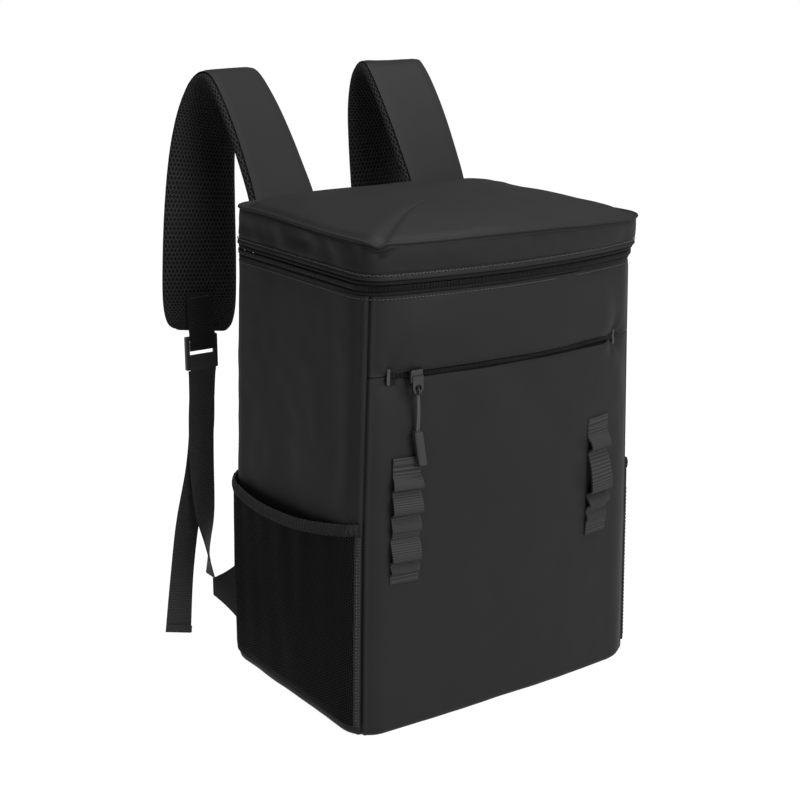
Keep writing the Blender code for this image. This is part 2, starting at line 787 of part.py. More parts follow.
def shoulder_pad(name, side):
    rows = [
        (*strap_point(side, row.spread, row.reach, STRAP_TOP * row.height), PAD_WIDTH * row.width, -side * row.turn)
        for row in PAD_ROWS
    ]
    return ribbon(name, smooth_path(rows, 2), coated_cloth(), PAD_THICKNESS, edge=0.3)


def inner_face(side, row, rise=0.0):
    """The middle of webbing that lies on the pad's inner face at a row of its table."""
    x, y, z = strap_point(side, row.spread, row.reach, STRAP_TOP * row.height + rise)
    return Vector((x + side * STUB_DRIFT, y - PAD_THICKNESS / 2 - WEBBING_THICKNESS / 2 - 3 * GAP, z))


def buckle_centre(side):
    middle = inner_face(side, PAD_ROWS[-1])
    middle.z = BUCKLE_TOP - BUCKLE_HEIGHT / 2
    return middle


def strap_stub(name, side):
    """Short webbing sewn on the pad's inner face, down to the buckle's upper bar."""
    end = buckle_centre(side)
    end.z = BUCKLE_TOP + GAP
    points = [inner_face(side, row, STUB_RISE) for row in PAD_ROWS[-3:]] + [end]
    rows = [(*point, STRAP_WEBBING_WIDTH, 0.0) for point in points]
    return ribbon(name, rows, webbing_cloth(), WEBBING_THICKNESS)


def buckle(name, side):
    """A ladder buckle: a flat frame with three bars and two slots."""
    bm = bmesh.new()
    half_width = BUCKLE_WIDTH / 2
    half_height = BUCKLE_HEIGHT / 2
    slot_half = STRAP_WEBBING_WIDTH / 2 + 0.0005
    chamfer = 0.003
    outer = [
        (-half_width + chamfer, -half_height),
        (half_width - chamfer, -half_height),
        (half_width, -half_height + chamfer),
        (half_width, half_height - chamfer),
        (half_width - chamfer, half_height),
        (-half_width + chamfer, half_height),
        (-half_width, half_height - chamfer),
        (-half_width, -half_height + chamfer),
    ]
    slots = []
    for top in (half_height - BUCKLE_BAR, half_height - 2 * BUCKLE_BAR - BUCKLE_SLOT):
        low = top - BUCKLE_SLOT
        slots.append([(-slot_half, low), (slot_half, low), (slot_half, top), (-slot_half, top)])
    centre = buckle_centre(side)
    for shape in [outer] + slots:
        verts = [bm.verts.new(centre + Vector((x, -BUCKLE_THICKNESS / 2, z))) for x, z in shape]
        ring_edges(bm, verts)
    bmesh.ops.triangle_fill(bm, use_beauty=True, edges=bm.edges[:])
    grown = bmesh.ops.extrude_face_region(bm, geom=bm.faces[:])
    moved = [item for item in grown["geom"] if isinstance(item, bmesh.types.BMVert)]
    bmesh.ops.translate(bm, verts=moved, vec=(0, BUCKLE_THICKNESS, 0))
    return add_object(name, bm, hard_plastic())


def web_line(side, rows, out_x, low, high):
    """Rows (x, y, z, width, turn) of webbing that leaves the buckle straight down and ends at out_x."""
    start = abs(buckle_centre(side).x)
    line = []
    for row in rows:
        x = side * (start + (out_x - start) * row.out)
        y = BACK_Y + STRAP_REACH * row.reach
        z = low + (high - low) * row.height
        line.append((x, y, z, STRAP_WEBBING_WIDTH, -side * row.turn))
    return [line[0]] + smooth_path(line[1:], 3)


def web_top(side):
    return buckle_centre(side).z - BUCKLE_HEIGHT / 2 - 3 * GAP


def anchor_tip_height():
    return ANCHOR_FOOT + ANCHOR_HEIGHT * 0.42


def strap_webbing(name, side):
    """The adjustable webbing from the buckle's lower bar down to the anchor, turned edge-on there."""
    line = web_line(side, WEB_ROWS, ANCHOR_SPREAD, anchor_tip_height(), web_top(side))
    return ribbon(name, line, webbing_cloth(), WEBBING_THICKNESS)


def strap_tail(name, side):
    """The free end of the webbing, hanging behind the tight run and drifting outwards."""
    line = web_line(side, TAIL_ROWS, TAIL_SPREAD, TAIL_END_HEIGHT, web_top(side))
    return ribbon(name, line, webbing_cloth(), WEBBING_THICKNESS)


def strap_anchor(name, side):
    """A cloth triangle sewn into the back seam near the floor, its point at the webbing's end."""
    base_low = place(side, 1.0, ANCHOR_FOOT, -GAP)
    base_high = place(side, 1.0, ANCHOR_FOOT + ANCHOR_HEIGHT, -GAP)
    tip = Vector((side * ANCHOR_SPREAD, BACK_Y + STRAP_REACH * WEB_ROWS[-1].reach, anchor_tip_height()))
    tip_high = tip + Vector((0, -0.012, -0.001))
    tip_low = tip + Vector((0, 0, -0.0155))
    low_in = tip + Vector((0, -0.010, -0.020))
    half = Vector((ANCHOR_THICKNESS / 2, 0, 0))
    corners = (base_low, base_high, tip_high, tip + Vector((0, 0, -0.002)), tip_low, low_in)
    rings = [[corner + half * sign for corner in corners] for sign in (-1, 1)]
    return loft(name, rings, coated_cloth())


# The front zip's slider, its cord and grip
def front_y(x, z):
    """The front skin's y at an x between the seams."""
    side = -1 if x < 0 else 1
    low = 2.0
    high = 3.0
    for _ in range(30):
        middle = (low + high) / 2
        if abs(place(side, middle, z).x) > abs(x):
            low = middle
        else:
            high = middle
    return place(side, low, z).y


def front_zip_slider():
    """Slider body on the coil, joined to a hanging pull plate that has a round eye."""
    bm = bmesh.new()
    body = bmesh.ops.create_cube(bm, size=1.0)["verts"]
    bmesh.ops.scale(bm, verts=body, vec=(SLIDER_HEIGHT, SLIDER_DEPTH, SLIDER_WIDTH))
    bmesh.ops.translate(bm, verts=body, vec=(SLIDER_X, slider_middle(), SLIT_HEIGHT))
    bmesh.ops.bevel(bm, geom=bm.edges[:], offset=0.0008, segments=1, affect="EDGES")
    made = add_object("front_zip_slider", bm, dark_metal())
    plate = bmesh.new()
    eye = [(PULL_EYE / 2 * math.cos(math.tau * i / 10), PULL_EYE / 2 * math.sin(math.tau * i / 10))
           for i in range(10)]
    half = PULL_WIDTH / 2
    rim = [(-half, PULL_HEIGHT - half), (-half, 0.0)]
    rim += [(half * math.cos(a), half * math.sin(a)) for a in spread(math.pi * 1.15, math.pi * 1.85, 5)]
    rim += [(half, 0.0), (half, PULL_HEIGHT - half)]
    face = pull_plane() + PULL_THICKNESS / 2
    for shape in (rim, eye):
        verts = [plate.verts.new((SLIDER_X + x, face, pull_eye_height() + z)) for x, z in shape]
        ring_edges(plate, verts)
    bmesh.ops.triangle_fill(plate, use_beauty=True, edges=plate.edges[:])
    grown = bmesh.ops.extrude_face_region(plate, geom=plate.faces[:])
    moved = [item for item in grown["geom"] if isinstance(item, bmesh.types.BMVert)]
    bmesh.ops.translate(plate, verts=moved, vec=(0, -PULL_THICKNESS, 0))
    pull = add_object("pull_plate", plate, dark_metal())
    join = made.modifiers.new("pull plate", "BOOLEAN")
    join.operation = "UNION"
    join.solver = "EXACT"
    join.object = pull
    pull.hide_render = True
    pull.display_type = "WIRE"
    return made


def pull_eye_height():
    return SLIT_HEIGHT - SLIDER_WIDTH / 2 - PULL_EYE / 2 - 0.0010


def slider_middle():
    """The y of the slider body's middle, just in front of the slit's two edges."""
    return front_y(SLIDER_X, SLIT_HEIGHT) - SLIDER_SEAT - SLIDER_DEPTH / 2


def pull_plane():
    """The y of the pull plate's middle."""
    return slider_middle() - SLIDER_DEPTH / 2 + PULL_ROOT - PULL_THICKNESS / 2


def pull_cord():
    """A cord loop that runs up through the pull's eye and back down into the grip."""
    radius = PULL_CORD_DIAMETER / 2
    y = pull_plane()
    low = pull_eye_height() - PULL_CORD_DROP
    eye_low = pull_eye_height() - PULL_EYE / 2
    strand = PULL_CORD_DIAMETER * 0.75
    beside = PULL_THICKNESS / 2 + radius + PULL_CORD_SLACK
    over = eye_low + radius + PULL_CORD_SLACK
    half_loop = [
        (SLIDER_X - strand, y - beside * 0.2, low),
        (SLIDER_X - strand, y - beside * 0.4, eye_low - 0.60 * (eye_low - low)),
        (SLIDER_X - strand * 0.8, y - beside * 0.9, eye_low - 0.20 * (eye_low - low)),
        (SLIDER_X - strand * 0.2, y - beside, eye_low - PULL_CORD_SLACK),
        (SLIDER_X, y - beside * 0.75, eye_low + PULL_CORD_SLACK),
    ]
    other_half = [(2 * SLIDER_X - px, 2 * y - py, pz) for px, py, pz in half_loop[::-1]]
    points = half_loop + [(SLIDER_X, y, over)] + other_half
    curve = bpy.data.curves.new("front_zip_pull_cord", "CURVE")
    curve.dimensions = "3D"
    curve.bevel_depth = radius
    curve.bevel_resolution = 2
    curve.use_fill_caps = True
    curve.materials.append(webbing_cloth())
    route = smooth_path(points, 4)
    spline = curve.splines.new("POLY")
    spline.points.add(len(route) - 1)
    for item, point in zip(spline.points, route):
        item.co = (*point, 1.0)
    made = bpy.data.objects.new("front_zip_pull_cord", curve)
    bpy.context.scene.collection.objects.link(made)
    return made


def pull_grip():
    """The moulded grip: a flat bar that leans a little to the right at its lower end."""
    top = pull_eye_height() - PULL_CORD_DROP - GAP
    y = pull_plane()
    lean = GRIP_LENGTH * 0.16
    rings = []
    for t, size in ((0.0, 0.86), (0.04, 1.0), (0.5, 1.0), (0.96, 1.0), (1.0, 0.86)):
        half_width = GRIP_WIDTH / 2 * size
        half = GRIP_THICKNESS / 2 * size
        x = SLIDER_X + lean * t
        z = top - GRIP_LENGTH * t
        cut = half * 0.35
        corners = (
            (-half_width, cut - half), (cut - half_width, -half), (half_width - cut, -half),
            (half_width, cut - half), (half_width, half - cut), (half_width - cut, half),
            (cut - half_width, half), (-half_width, half - cut),
        )
        rings.append([Vector((x + dx, y + dy, z)) for dx, dy in corners])
    return loft("front_zip_grip", rings, hard_plastic())


# The whole bag
def build():
    for item in list(bpy.data.objects):
        bpy.data.objects.remove(item, do_unlink=True)
    base_panel()
    side_panel("side_panel_left", -1)
    side_panel("side_panel_right", 1)
    back_panel()
    front_wall()
    front_pocket_panel()
    front_upper_panel()
    front_zip()
    front_zip_slider()
    pull_cord()
    pull_grip()
    main_zip()
    lid_band()
    lid_top()
    ladder("webbing_ladder_left", -1, LEFT_LOOPS)
    ladder("webbing_ladder_right", 1, RIGHT_LOOPS)
    for side, hand in ((-1, "left"), (1, "right")):
        side_pocket(f"side_pocket_{hand}", side)
        shoulder_pad(f"shoulder_pad_{hand}", side)
        strap_stub(f"strap_stub_{hand}", side)
        buckle(f"buckle_{hand}", side)
        strap_webbing(f"strap_webbing_{hand}", side)
        strap_tail(f"strap_tail_{hand}", side)
        strap_anchor(f"strap_anchor_{hand}", side)


build()
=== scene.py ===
# %% [markdown]
# # A square lunch backpack
# An insulated bag with a padded lid on a zip, a flat front pocket, two webbing ladders, mesh side pockets
# and two padded shoulder straps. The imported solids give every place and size. Each soft piece is made
# again here as cloth, and the solids stay hidden underneath for collision.

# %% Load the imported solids
import math
from collections import namedtuple

import bpy
from mathutils import Matrix, Vector, noise


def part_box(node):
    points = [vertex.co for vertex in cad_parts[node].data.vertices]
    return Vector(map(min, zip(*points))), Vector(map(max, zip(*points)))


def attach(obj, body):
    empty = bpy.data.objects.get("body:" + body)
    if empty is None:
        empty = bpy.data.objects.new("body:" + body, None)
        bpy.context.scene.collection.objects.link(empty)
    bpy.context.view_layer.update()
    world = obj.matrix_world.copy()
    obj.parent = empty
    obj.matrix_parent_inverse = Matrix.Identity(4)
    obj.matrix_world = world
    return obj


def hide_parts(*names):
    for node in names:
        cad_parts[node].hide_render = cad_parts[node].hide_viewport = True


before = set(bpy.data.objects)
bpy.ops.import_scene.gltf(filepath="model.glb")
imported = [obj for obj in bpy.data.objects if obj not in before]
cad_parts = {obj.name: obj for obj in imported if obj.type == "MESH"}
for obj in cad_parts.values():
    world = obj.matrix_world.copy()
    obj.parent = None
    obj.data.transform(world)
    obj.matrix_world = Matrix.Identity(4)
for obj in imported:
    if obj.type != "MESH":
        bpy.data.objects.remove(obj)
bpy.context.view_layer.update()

# %% [markdown]
# ## Camera, floor and light
# A photo of a product is taken with a long lens, so the bag's edges hardly converge. The camera comes
# first because everything else is judged through it. The light is a soft studio: one big light in front,
# a second above, and a pale surround. Black cloth shows its shape only by the little it reflects, so big
# lights matter more than strong ones.

# %% Camera
CAMERA_PLACE = (-0.7616, -1.0326, 0.5983)
CAMERA_PITCH = 73.92
CAMERA_YAW = -35.06
CAMERA_LENS = 72.45
camera_data = bpy.data.cameras.new("camera")
camera_data.lens = CAMERA_LENS
camera_data.sensor_width = 36.0
camera = bpy.data.objects.new("camera", camera_data)
camera.location = CAMERA_PLACE
camera.rotation_euler = (math.radians(CAMERA_PITCH), 0, math.radians(CAMERA_YAW))
bpy.context.scene.collection.objects.link(camera)
bpy.context.scene.camera = camera
print("camera", camera_data.lens, "mm")


# %% Lights
def area_light(name, place, target, size, watts):
    data = bpy.data.lights.new(name, "AREA")
    data.shape = "DISK"
    data.size = size
    data.energy = watts
    made = bpy.data.objects.new(name, data)
    made.location = place
    made.rotation_euler = (Vector(target) - Vector(place)).to_track_quat("-Z", "Y").to_euler()
    bpy.context.scene.collection.objects.link(made)


BAG_MIDDLE = (0.0, 0.0, 0.22)
area_light("key_light", (0.15, -1.90, 1.35), BAG_MIDDLE, 1.3, 52)
area_light("top_light", (0.10, -0.30, 2.10), BAG_MIDDLE, 1.5, 55)

# %% Surround
SURROUND_LIGHT = 0.12
world = bpy.data.worlds.new("surround")
world.use_nodes = True
bpy.context.scene.world = world
sky = world.node_tree.nodes["Background"]
shown_sky = world.node_tree.nodes.new("ShaderNodeBackground")
chooser = world.node_tree.nodes.new("ShaderNodeMixShader")
ray_kind = world.node_tree.nodes.new("ShaderNodeLightPath")
sky.inputs["Strength"].default_value = SURROUND_LIGHT
sky.inputs["Color"].default_value = (1, 1, 1, 1)
shown_sky.inputs["Color"].default_value = (1, 1, 1, 1)
world.node_tree.links.new(ray_kind.outputs["Is Camera Ray"], chooser.inputs[0])
world.node_tree.links.new(sky.outputs[0], chooser.inputs[1])
world.node_tree.links.new(shown_sky.outputs[0], chooser.inputs[2])
world.node_tree.links.new(chooser.outputs[0], world.node_tree.nodes["World Output"].inputs["Surface"])
bpy.context.scene.view_settings.view_transform = "Standard"

# %% [markdown]
# ## Small helpers for materials
# Every finish is a tree of nodes. One helper adds a node and wires it in the same line, which keeps the
# trees short to read. Patterns that several finishes share are node groups with named sockets.


# %% Node helpers
def add_node(tree, kind, values=None, **settings):
    """Adds a node, sets its properties, and sets or links its inputs."""
    made = tree.nodes.new(kind)
    for key, value in settings.items():
        setattr(made, key, value)
    for key, value in (values or {}).items():
        if isinstance(value, bpy.types.NodeSocket):
            tree.links.new(value, made.inputs[key])
        else:
            made.inputs[key].default_value = value
    return made


def sums(tree, operation, first, second=0.0, third=0.0):
    """One math node's result."""
    return add_node(tree, "ShaderNodeMath", {0: first, 1: second, 2: third}, operation=operation).outputs[0]


def new_group(name, inputs, outputs):
    """An empty node group with named sockets, and its two end nodes."""
    tree = bpy.data.node_groups.new(name, "ShaderNodeTree")
    for label, kind, value in inputs:
        socket = tree.interface.new_socket(name=label, in_out="INPUT", socket_type=kind)
        if value is not None:
            socket.default_value = value
    for label, kind in outputs:
        tree.interface.new_socket(name=label, in_out="OUTPUT", socket_type=kind)
    return tree, tree.nodes.new("NodeGroupInput"), tree.nodes.new("NodeGroupOutput")


def place_group(tree, group, values):
    made = add_node(tree, "ShaderNodeGroup", node_tree=group)
    for key, value in values.items():
        if isinstance(value, bpy.types.NodeSocket):
            tree.links.new(value, made.inputs[key])
        else:
            made.inputs[key].default_value = value
    return made


# %% [markdown]
# ## Three shared patterns
# Grain is the fine unevenness of coated cloth. Ribs are the cross ridges of woven webbing. Holes are the
# rows of openings in knitted mesh, two square grids of dots laid half a step apart. The last two read
# the piece's own UV map, which is kept in metres, so a rib is as wide as the real one on every piece.

# %% Grain group
grain_group, start, end = new_group(
    "grain",
    [("Vector", "NodeSocketVector", None), ("Size", "NodeSocketFloat", 600.0)],
    [("Fine", "NodeSocketFloat"), ("Broad", "NodeSocketFloat")],
)
fine = add_node(grain_group, "ShaderNodeTexNoise", {
    "Vector": start.outputs["Vector"], "Scale": start.outputs["Size"], "Detail": 3.0, "Roughness": 0.6})
broad = add_node(grain_group, "ShaderNodeTexNoise", {
    "Vector": start.outputs["Vector"], "Scale": 14.0, "Detail": 4.0, "Roughness": 0.55})
grain_group.links.new(fine.outputs[0], end.inputs["Fine"])
grain_group.links.new(broad.outputs[0], end.inputs["Broad"])

# %% Rib group
rib_group, start, end = new_group(
    "ribs",
    [("Vector", "NodeSocketVector", None), ("Pitch", "NodeSocketFloat", 0.0016)],
    [("Height", "NodeSocketFloat"), ("Shade", "NodeSocketFloat")],
)
parts = add_node(rib_group, "ShaderNodeSeparateXYZ", {0: start.outputs["Vector"]})
turns = sums(rib_group, "DIVIDE", parts.outputs["Y"], start.outputs["Pitch"])
wave = sums(rib_group, "SINE", sums(rib_group, "MULTIPLY", turns, math.tau))
ridge = sums(rib_group, "MULTIPLY_ADD", wave, 0.5, 0.5)
across = sums(rib_group, "DIVIDE", parts.outputs["X"], start.outputs["Pitch"])
thread = sums(rib_group, "ADD", across, sums(rib_group, "MULTIPLY", turns, 0.5))
thread = sums(rib_group, "MULTIPLY", thread, math.tau)
thread = sums(rib_group, "MULTIPLY_ADD", sums(rib_group, "SINE", thread), 0.5, 0.5)
height = sums(rib_group, "MULTIPLY_ADD", thread, 0.35, ridge)
rib_group.links.new(height, end.inputs["Height"])
# Shade is painted shade: the tone follows the rib height, so the grooves are painted darker than the ridges.
rib_group.links.new(sums(rib_group, "MULTIPLY", height, 0.74), end.inputs["Shade"])

# %% Hole group
hole_group, start, end = new_group(
    "holes",
    [
        ("Vector", "NodeSocketVector", None),
        ("Pitch", "NodeSocketFloat", 0.003),
        ("Stretch", "NodeSocketFloat", 1.732),
        ("Hole", "NodeSocketFloat", 0.3),
    ],
    [("Height", "NodeSocketFloat")],
)
parts = add_node(hole_group, "ShaderNodeSeparateXYZ", {0: start.outputs["Vector"]})
column = sums(hole_group, "DIVIDE", parts.outputs["X"], start.outputs["Pitch"])
row_pitch = sums(hole_group, "MULTIPLY", start.outputs["Pitch"], start.outputs["Stretch"])
row = sums(hole_group, "DIVIDE", parts.outputs["Y"], row_pitch)


def dot_distance(shift):
    """Distance to the nearest dot of one grid, in pitches."""
    x = sums(hole_group, "SUBTRACT", sums(hole_group, "FRACT", sums(hole_group, "ADD", column, shift)), 0.5)
    y = sums(hole_group, "SUBTRACT", sums(hole_group, "FRACT", sums(hole_group, "ADD", row, shift)), 0.5)
    y = sums(hole_group, "MULTIPLY", y, start.outputs["Stretch"])
    square = sums(hole_group, "ADD", sums(hole_group, "MULTIPLY", x, x), sums(hole_group, "MULTIPLY", y, y))
    return sums(hole_group, "SQRT", square)


nearest = sums(hole_group, "MINIMUM", dot_distance(0.0), dot_distance(0.5))
# The hole mask also sets the tone: the holes are painted near-black, the dark layer behind them darkened as
# painted shade.
edge = add_node(hole_group, "ShaderNodeMapRange", {
    "Value": nearest, "From Min": sums(hole_group, "MULTIPLY", start.outputs["Hole"], 0.65),
    "From Max": sums(hole_group, "MULTIPLY", start.outputs["Hole"], 1.25)}, interpolation_type="SMOOTHSTEP")
hole_group.links.new(edge.outputs[0], end.inputs["Height"])
print("groups:", [group.name for group in bpy.data.node_groups])


# %% [markdown]
# ## The finishes
# Each finish mixes two close tones by its pattern, and bends the light with a Bump node. On the coated
# cloth, plastic, metal and thread the mix is an uneven tone of their own; on the woven and knitted
# finishes it is painted shade, darker in the rib grooves and near-black in the holes. The coated cloth is
# matte and reflects little. Bump distances are in metres too: less than a tenth of a millimetre for
# grain, a little more for ribs.


# %% Base of a finish
def finish(name, dark, light, roughness, shade, height, depth, coordinates, metallic=0.0,
           specular=0.35):
    """A Principled material. shade and height are functions that build sockets from a tree and a vector."""
    made = bpy.data.materials.new(name)
    made.use_nodes = True
    tree = made.node_tree
    shader = tree.nodes["Principled BSDF"]
    place = add_node(tree, "ShaderNodeTexCoord").outputs[coordinates]
    mask = shade(tree, place)
    tone = add_node(tree, "ShaderNodeMix", data_type="RGBA")
    tree.links.new(mask, tone.inputs[0])
    tone.inputs[6].default_value = (*dark, 1)
    tone.inputs[7].default_value = (*light, 1)
    tree.links.new(tone.outputs[2], shader.inputs["Base Color"])
    rough = add_node(tree, "ShaderNodeMapRange", {
        "Value": mask, "To Min": roughness + 0.05, "To Max": roughness - 0.05})
    tree.links.new(rough.outputs[0], shader.inputs["Roughness"])
    bump = add_node(tree, "ShaderNodeBump", {"Height": height(tree, place), "Strength": 1.0, "Distance": depth})
    tree.links.new(bump.outputs[0], shader.inputs["Normal"])
    shader.inputs["Metallic"].default_value = metallic
    shader.inputs["Specular IOR Level"].default_value = specular
    return made


def broad_mask(tree, place):
    return place_group(tree, grain_group, {"Vector": place}).outputs["Broad"]


def fine_height(size):
    def build(tree, place):
        return place_group(tree, grain_group, {"Vector": place, "Size": size}).outputs["Fine"]
    return build


def rib_output(pitch, output):
    def build(tree, place):
        return place_group(tree, rib_group, {"Vector": place, "Pitch": pitch}).outputs[output]
    return build


def hole_height_and_shade(pitch, stretch, hole, turn=0.0):
    def build(tree, place):
        turned = add_node(tree, "ShaderNodeMapping", {"Vector": place, "Rotation": (0, 0, math.radians(turn))})
        values = {"Vector": turned.outputs[0], "Pitch": pitch, "Stretch": stretch, "Hole": hole}
        return place_group(tree, hole_group, values).outputs["Height"]
    return build


# %% Materials
COATED = finish("coated_cloth", (0.0145,) * 3, (0.0175, 0.0175, 0.0178), 0.50, broad_mask, fine_height(900.0),
                0.00006, "Object", specular=0.04)
# Woven finishes: the rib grooves are painted darker as painted shade.
WEBBING = finish("webbing_cloth", (0.008,) * 3, (0.030,) * 3, 0.72, rib_output(0.0010, "Shade"),
                 rib_output(0.0010, "Height"), 0.00014, "UV", specular=0.20)
BINDING = finish("binding_cloth", (0.008,) * 3, (0.022,) * 3, 0.72, rib_output(0.0024, "Shade"),
                 rib_output(0.0024, "Height"), 0.00030, "UV", specular=0.20)
# Mesh finishes: the holes are painted near-black as painted shade; the knit between them keeps its own dark
# tone.
SPACER = finish("spacer_mesh", (0.0010,) * 3, (0.015,) * 3, 0.75, hole_height_and_shade(0.0034, 1.5, 0.36),
                hole_height_and_shade(0.0034, 1.5, 0.36), 0.0008, "UV", specular=0.15)
NETTING = finish("pocket_mesh", (0.0010,) * 3, (0.013,) * 3, 0.70, hole_height_and_shade(0.0024, 1.5, 0.36, 28),
                 hole_height_and_shade(0.0024, 1.5, 0.36, 28), 0.0003, "UV", specular=0.02)
# Zip tape and coil: black, and painted darker still as painted shade for the deep slit of the front pocket.
TAPE_BLACK_WITH_PAINTED_SHADE = finish("zip_tape_cloth", (0.003,) * 3, (0.007,) * 3, 0.78, rib_output(0.0009, "Shade"),
              rib_output(0.0009, "Height"), 0.00010, "UV", specular=0.15)
COIL_BLACK_WITH_PAINTED_SHADE = finish("zip_coil", (0.006,) * 3, (0.010,) * 3, 0.50, broad_mask, fine_height(1500.0), 0.00002, "Object",
              specular=0.15)
# The stub's webbing is the same weave painted darker, as painted shade of the pad that hangs over it.
SHADED_STUB_WEBBING = finish("stub_webbing_painted_shade", (0.003,) * 3, (0.012,) * 3, 0.75, rib_output(0.0013, "Shade"),
                      rib_output(0.0013, "Height"), 0.00016, "UV", specular=0.08)
PLASTIC = finish("moulded_plastic", (0.014,) * 3, (0.020,) * 3, 0.42, broad_mask, fine_height(1800.0), 0.00003,
                 "Object", specular=0.30)
METAL = finish("dark_metal", (0.035, 0.035, 0.036), (0.060, 0.060, 0.062), 0.38, broad_mask, fine_height(1300.0),
               0.00002, "Object", metallic=0.9)
THREAD = finish("thread", (0.030,) * 3, (0.048,) * 3, 0.65, broad_mask, fine_height(2500.0), 0.00003, "Object")
print("materials:", len(bpy.data.materials))

# %% [markdown]
# ## The bag's outline in plan
# All panels follow one outline: a rounded rectangle whose front bows outwards and which widens a little
# towards the floor. It is measured along its half from the middle of the back: 1 is the back seam, 2 the
# front seam, 3 the middle of the front. The same numbers shaped the solids, so cloth and solids agree.

# %% Sizes
GAP = 0.0003
BODY_WIDTH = 0.270
BODY_DEPTH = 0.203
BODY_HEIGHT = 0.349
FOOT_RADIUS = 0.007
LEFT_CORNER = 0.027
RIGHT_CORNER = 0.040
BACK_CORNER = 0.022
FRONT_BULGE = 0.012
SLIT_HEIGHT = 0.2885
ZIP_HEIGHT = 0.0120
CHAIN_HEIGHT = 0.0050
LID_BAND_HEIGHT = 0.0275
LID_CROWN = 0.0125
BACK_Y = BODY_DEPTH / 2
LID_BOTTOM = BODY_HEIGHT + ZIP_HEIGHT
LID_SEAM = LID_BOTTOM + LID_BAND_HEIGHT
Level = namedtuple("Level", "height width front bulge corner")
LEVELS = (
    Level(height=0.00, width=1.080, front=0.980, bulge=0.25, corner=0.95),
    Level(height=0.22, width=1.068, front=0.985, bulge=0.55, corner=0.98),
    Level(height=0.45, width=1.055, front=0.990, bulge=0.80, corner=1.00),
    Level(height=0.72, width=1.028, front=0.995, bulge=0.92, corner=1.00),
    Level(height=1.00, width=1.000, front=1.000, bulge=1.00, corner=1.00),
    Level(height=1.035, width=1.000, front=1.020, bulge=1.15, corner=0.85),
    Level(height=1.115, width=0.985, front=1.030, bulge=1.25, corner=0.70),
)


# %% Outline
def smooth_step(value):
    t = min(max(value, 0.0), 1.0)
    return t * t * (3 - 2 * t)


def bump_at(value, middle, width):
    """1 at the middle, fading smoothly to nothing about two widths away."""
    return math.exp(-((value - middle) / width) ** 2)


def level_at(z):
    height = z / BODY_HEIGHT
    for low, high in zip(LEVELS, LEVELS[1:]):
        if height <= high.height or high is LEVELS[-1]:
            t = (height - low.height) / (high.height - low.height)
            return Level(*[a + t * (b - a) for a, b in zip(low, high)])


def half_outline(z, side):
    level = level_at(z)
    half_width = BODY_WIDTH / 2 * level.width
    front = -BODY_DEPTH / 2 * level.front
    bulge = FRONT_BULGE * level.bulge
    corner = (LEFT_CORNER if side < 0 else RIGHT_CORNER) * level.corner
    back_seam = half_width - BACK_CORNER
    points = [Vector((0, BACK_Y)), Vector((back_seam, BACK_Y))]
    for i in range(1, 15):
        angle = math.pi / 2 * i / 14
        turn = Vector((math.sin(angle), math.cos(angle) - 1)) * BACK_CORNER
        points.append(Vector((back_seam, BACK_Y)) + turn)
    reach = half_width - corner
    for _ in range(4):
        turn = math.pi / 2 - math.atan(2 * bulge / reach)
        reach = half_width - corner + corner * math.cos(turn)
    middle = Vector((half_width - corner, front + corner * math.sin(turn)))
    for i in range(25):
        angle = turn * i / 24
        points.append(middle + corner * Vector((math.cos(angle), -math.sin(angle))))
        if i == 12:
            front_seam = sum((b - a).length for a, b in zip(points, points[1:]))
    for i in range(1, 25):
        x = reach * (1 - i / 24)
        points.append(Vector((x, front - bulge * (1 - (x / reach) ** 2))))
    return points, back_seam, front_seam


OUTLINES = {}


def outline(z, side):
    key = (round(z, 5), side)
    if key not in OUTLINES:
        points, back_seam, front_seam = half_outline(z, side)
        lengths = [0.0]
        for a, b in zip(points, points[1:]):
            lengths.append(lengths[-1] + (b - a).length)
        OUTLINES[key] = (points, lengths, (0.0, back_seam, front_seam, lengths[-1]))
    return OUTLINES[key]


def at_length(points, lengths, s):
    for a, b, low, high in zip(points, points[1:], lengths, lengths[1:]):
        if s <= high and high > low:
            return a.lerp(b, (s - low) / (high - low))
    return points[-1].copy()


def skin(side, along, z, out=0.0):
    """A point on the bag's skin, moved outwards."""
    points, lengths, marks = outline(z, side)
    stretch = min(int(along), 2)
    s = marks[stretch] + (along - stretch) * (marks[stretch + 1] - marks[stretch])
    ahead = at_length(points, lengths, s + 0.0015)
    behind = at_length(points, lengths, max(s - 0.0015, 0.0))
    tangent = (ahead - behind).normalized()
    point = at_length(points, lengths, s) + Vector((-tangent.y, tangent.x)) * out
    return Vector((side * point.x, point.y, z))


def round_skin(turn, z, out=0.0):
    """The same, all round: turn runs from -3 in the middle of the front over the left side, 0 in the middle
    of the back, and the right side to 3."""
    side = -1 if turn < 0 else 1
    return skin(side, abs(turn), z, out)


def stretch_length(side, stretch):
    marks = outline(BODY_HEIGHT / 2, side)[2]
    return marks[stretch + 1] - marks[stretch]


SIDE_LENGTH = stretch_length(-1, 1)
FRONT_LENGTH = stretch_length(-1, 2)
print("side", round(SIDE_LENGTH, 3), "m, half front", round(FRONT_LENGTH, 3), "m")

# %% [markdown]
# ## Cloth from a grid
# A flat piece of cloth starts as what it is, a flat grid. Each of its points is then moved to its place
# on the bag, the way cloth is laid on a form, and a Solidify modifier gives it its thickness inwards. The
# grid's UV map is stretched to metres, so weaves keep their scale.


# %% Cloth helper
def select_only(piece):
    bpy.ops.object.select_all(action="DESELECT")
    piece.select_set(True)
    bpy.context.view_layer.objects.active = piece


def in_edit_mode(piece, *steps):
    """Selects all of a piece and runs edit mode steps on it."""
    select_only(piece)
    bpy.ops.object.mode_set(mode="EDIT")
    bpy.ops.mesh.select_all(action="SELECT")
    for step in steps:
        step()
    bpy.ops.object.mode_set(mode="OBJECT")


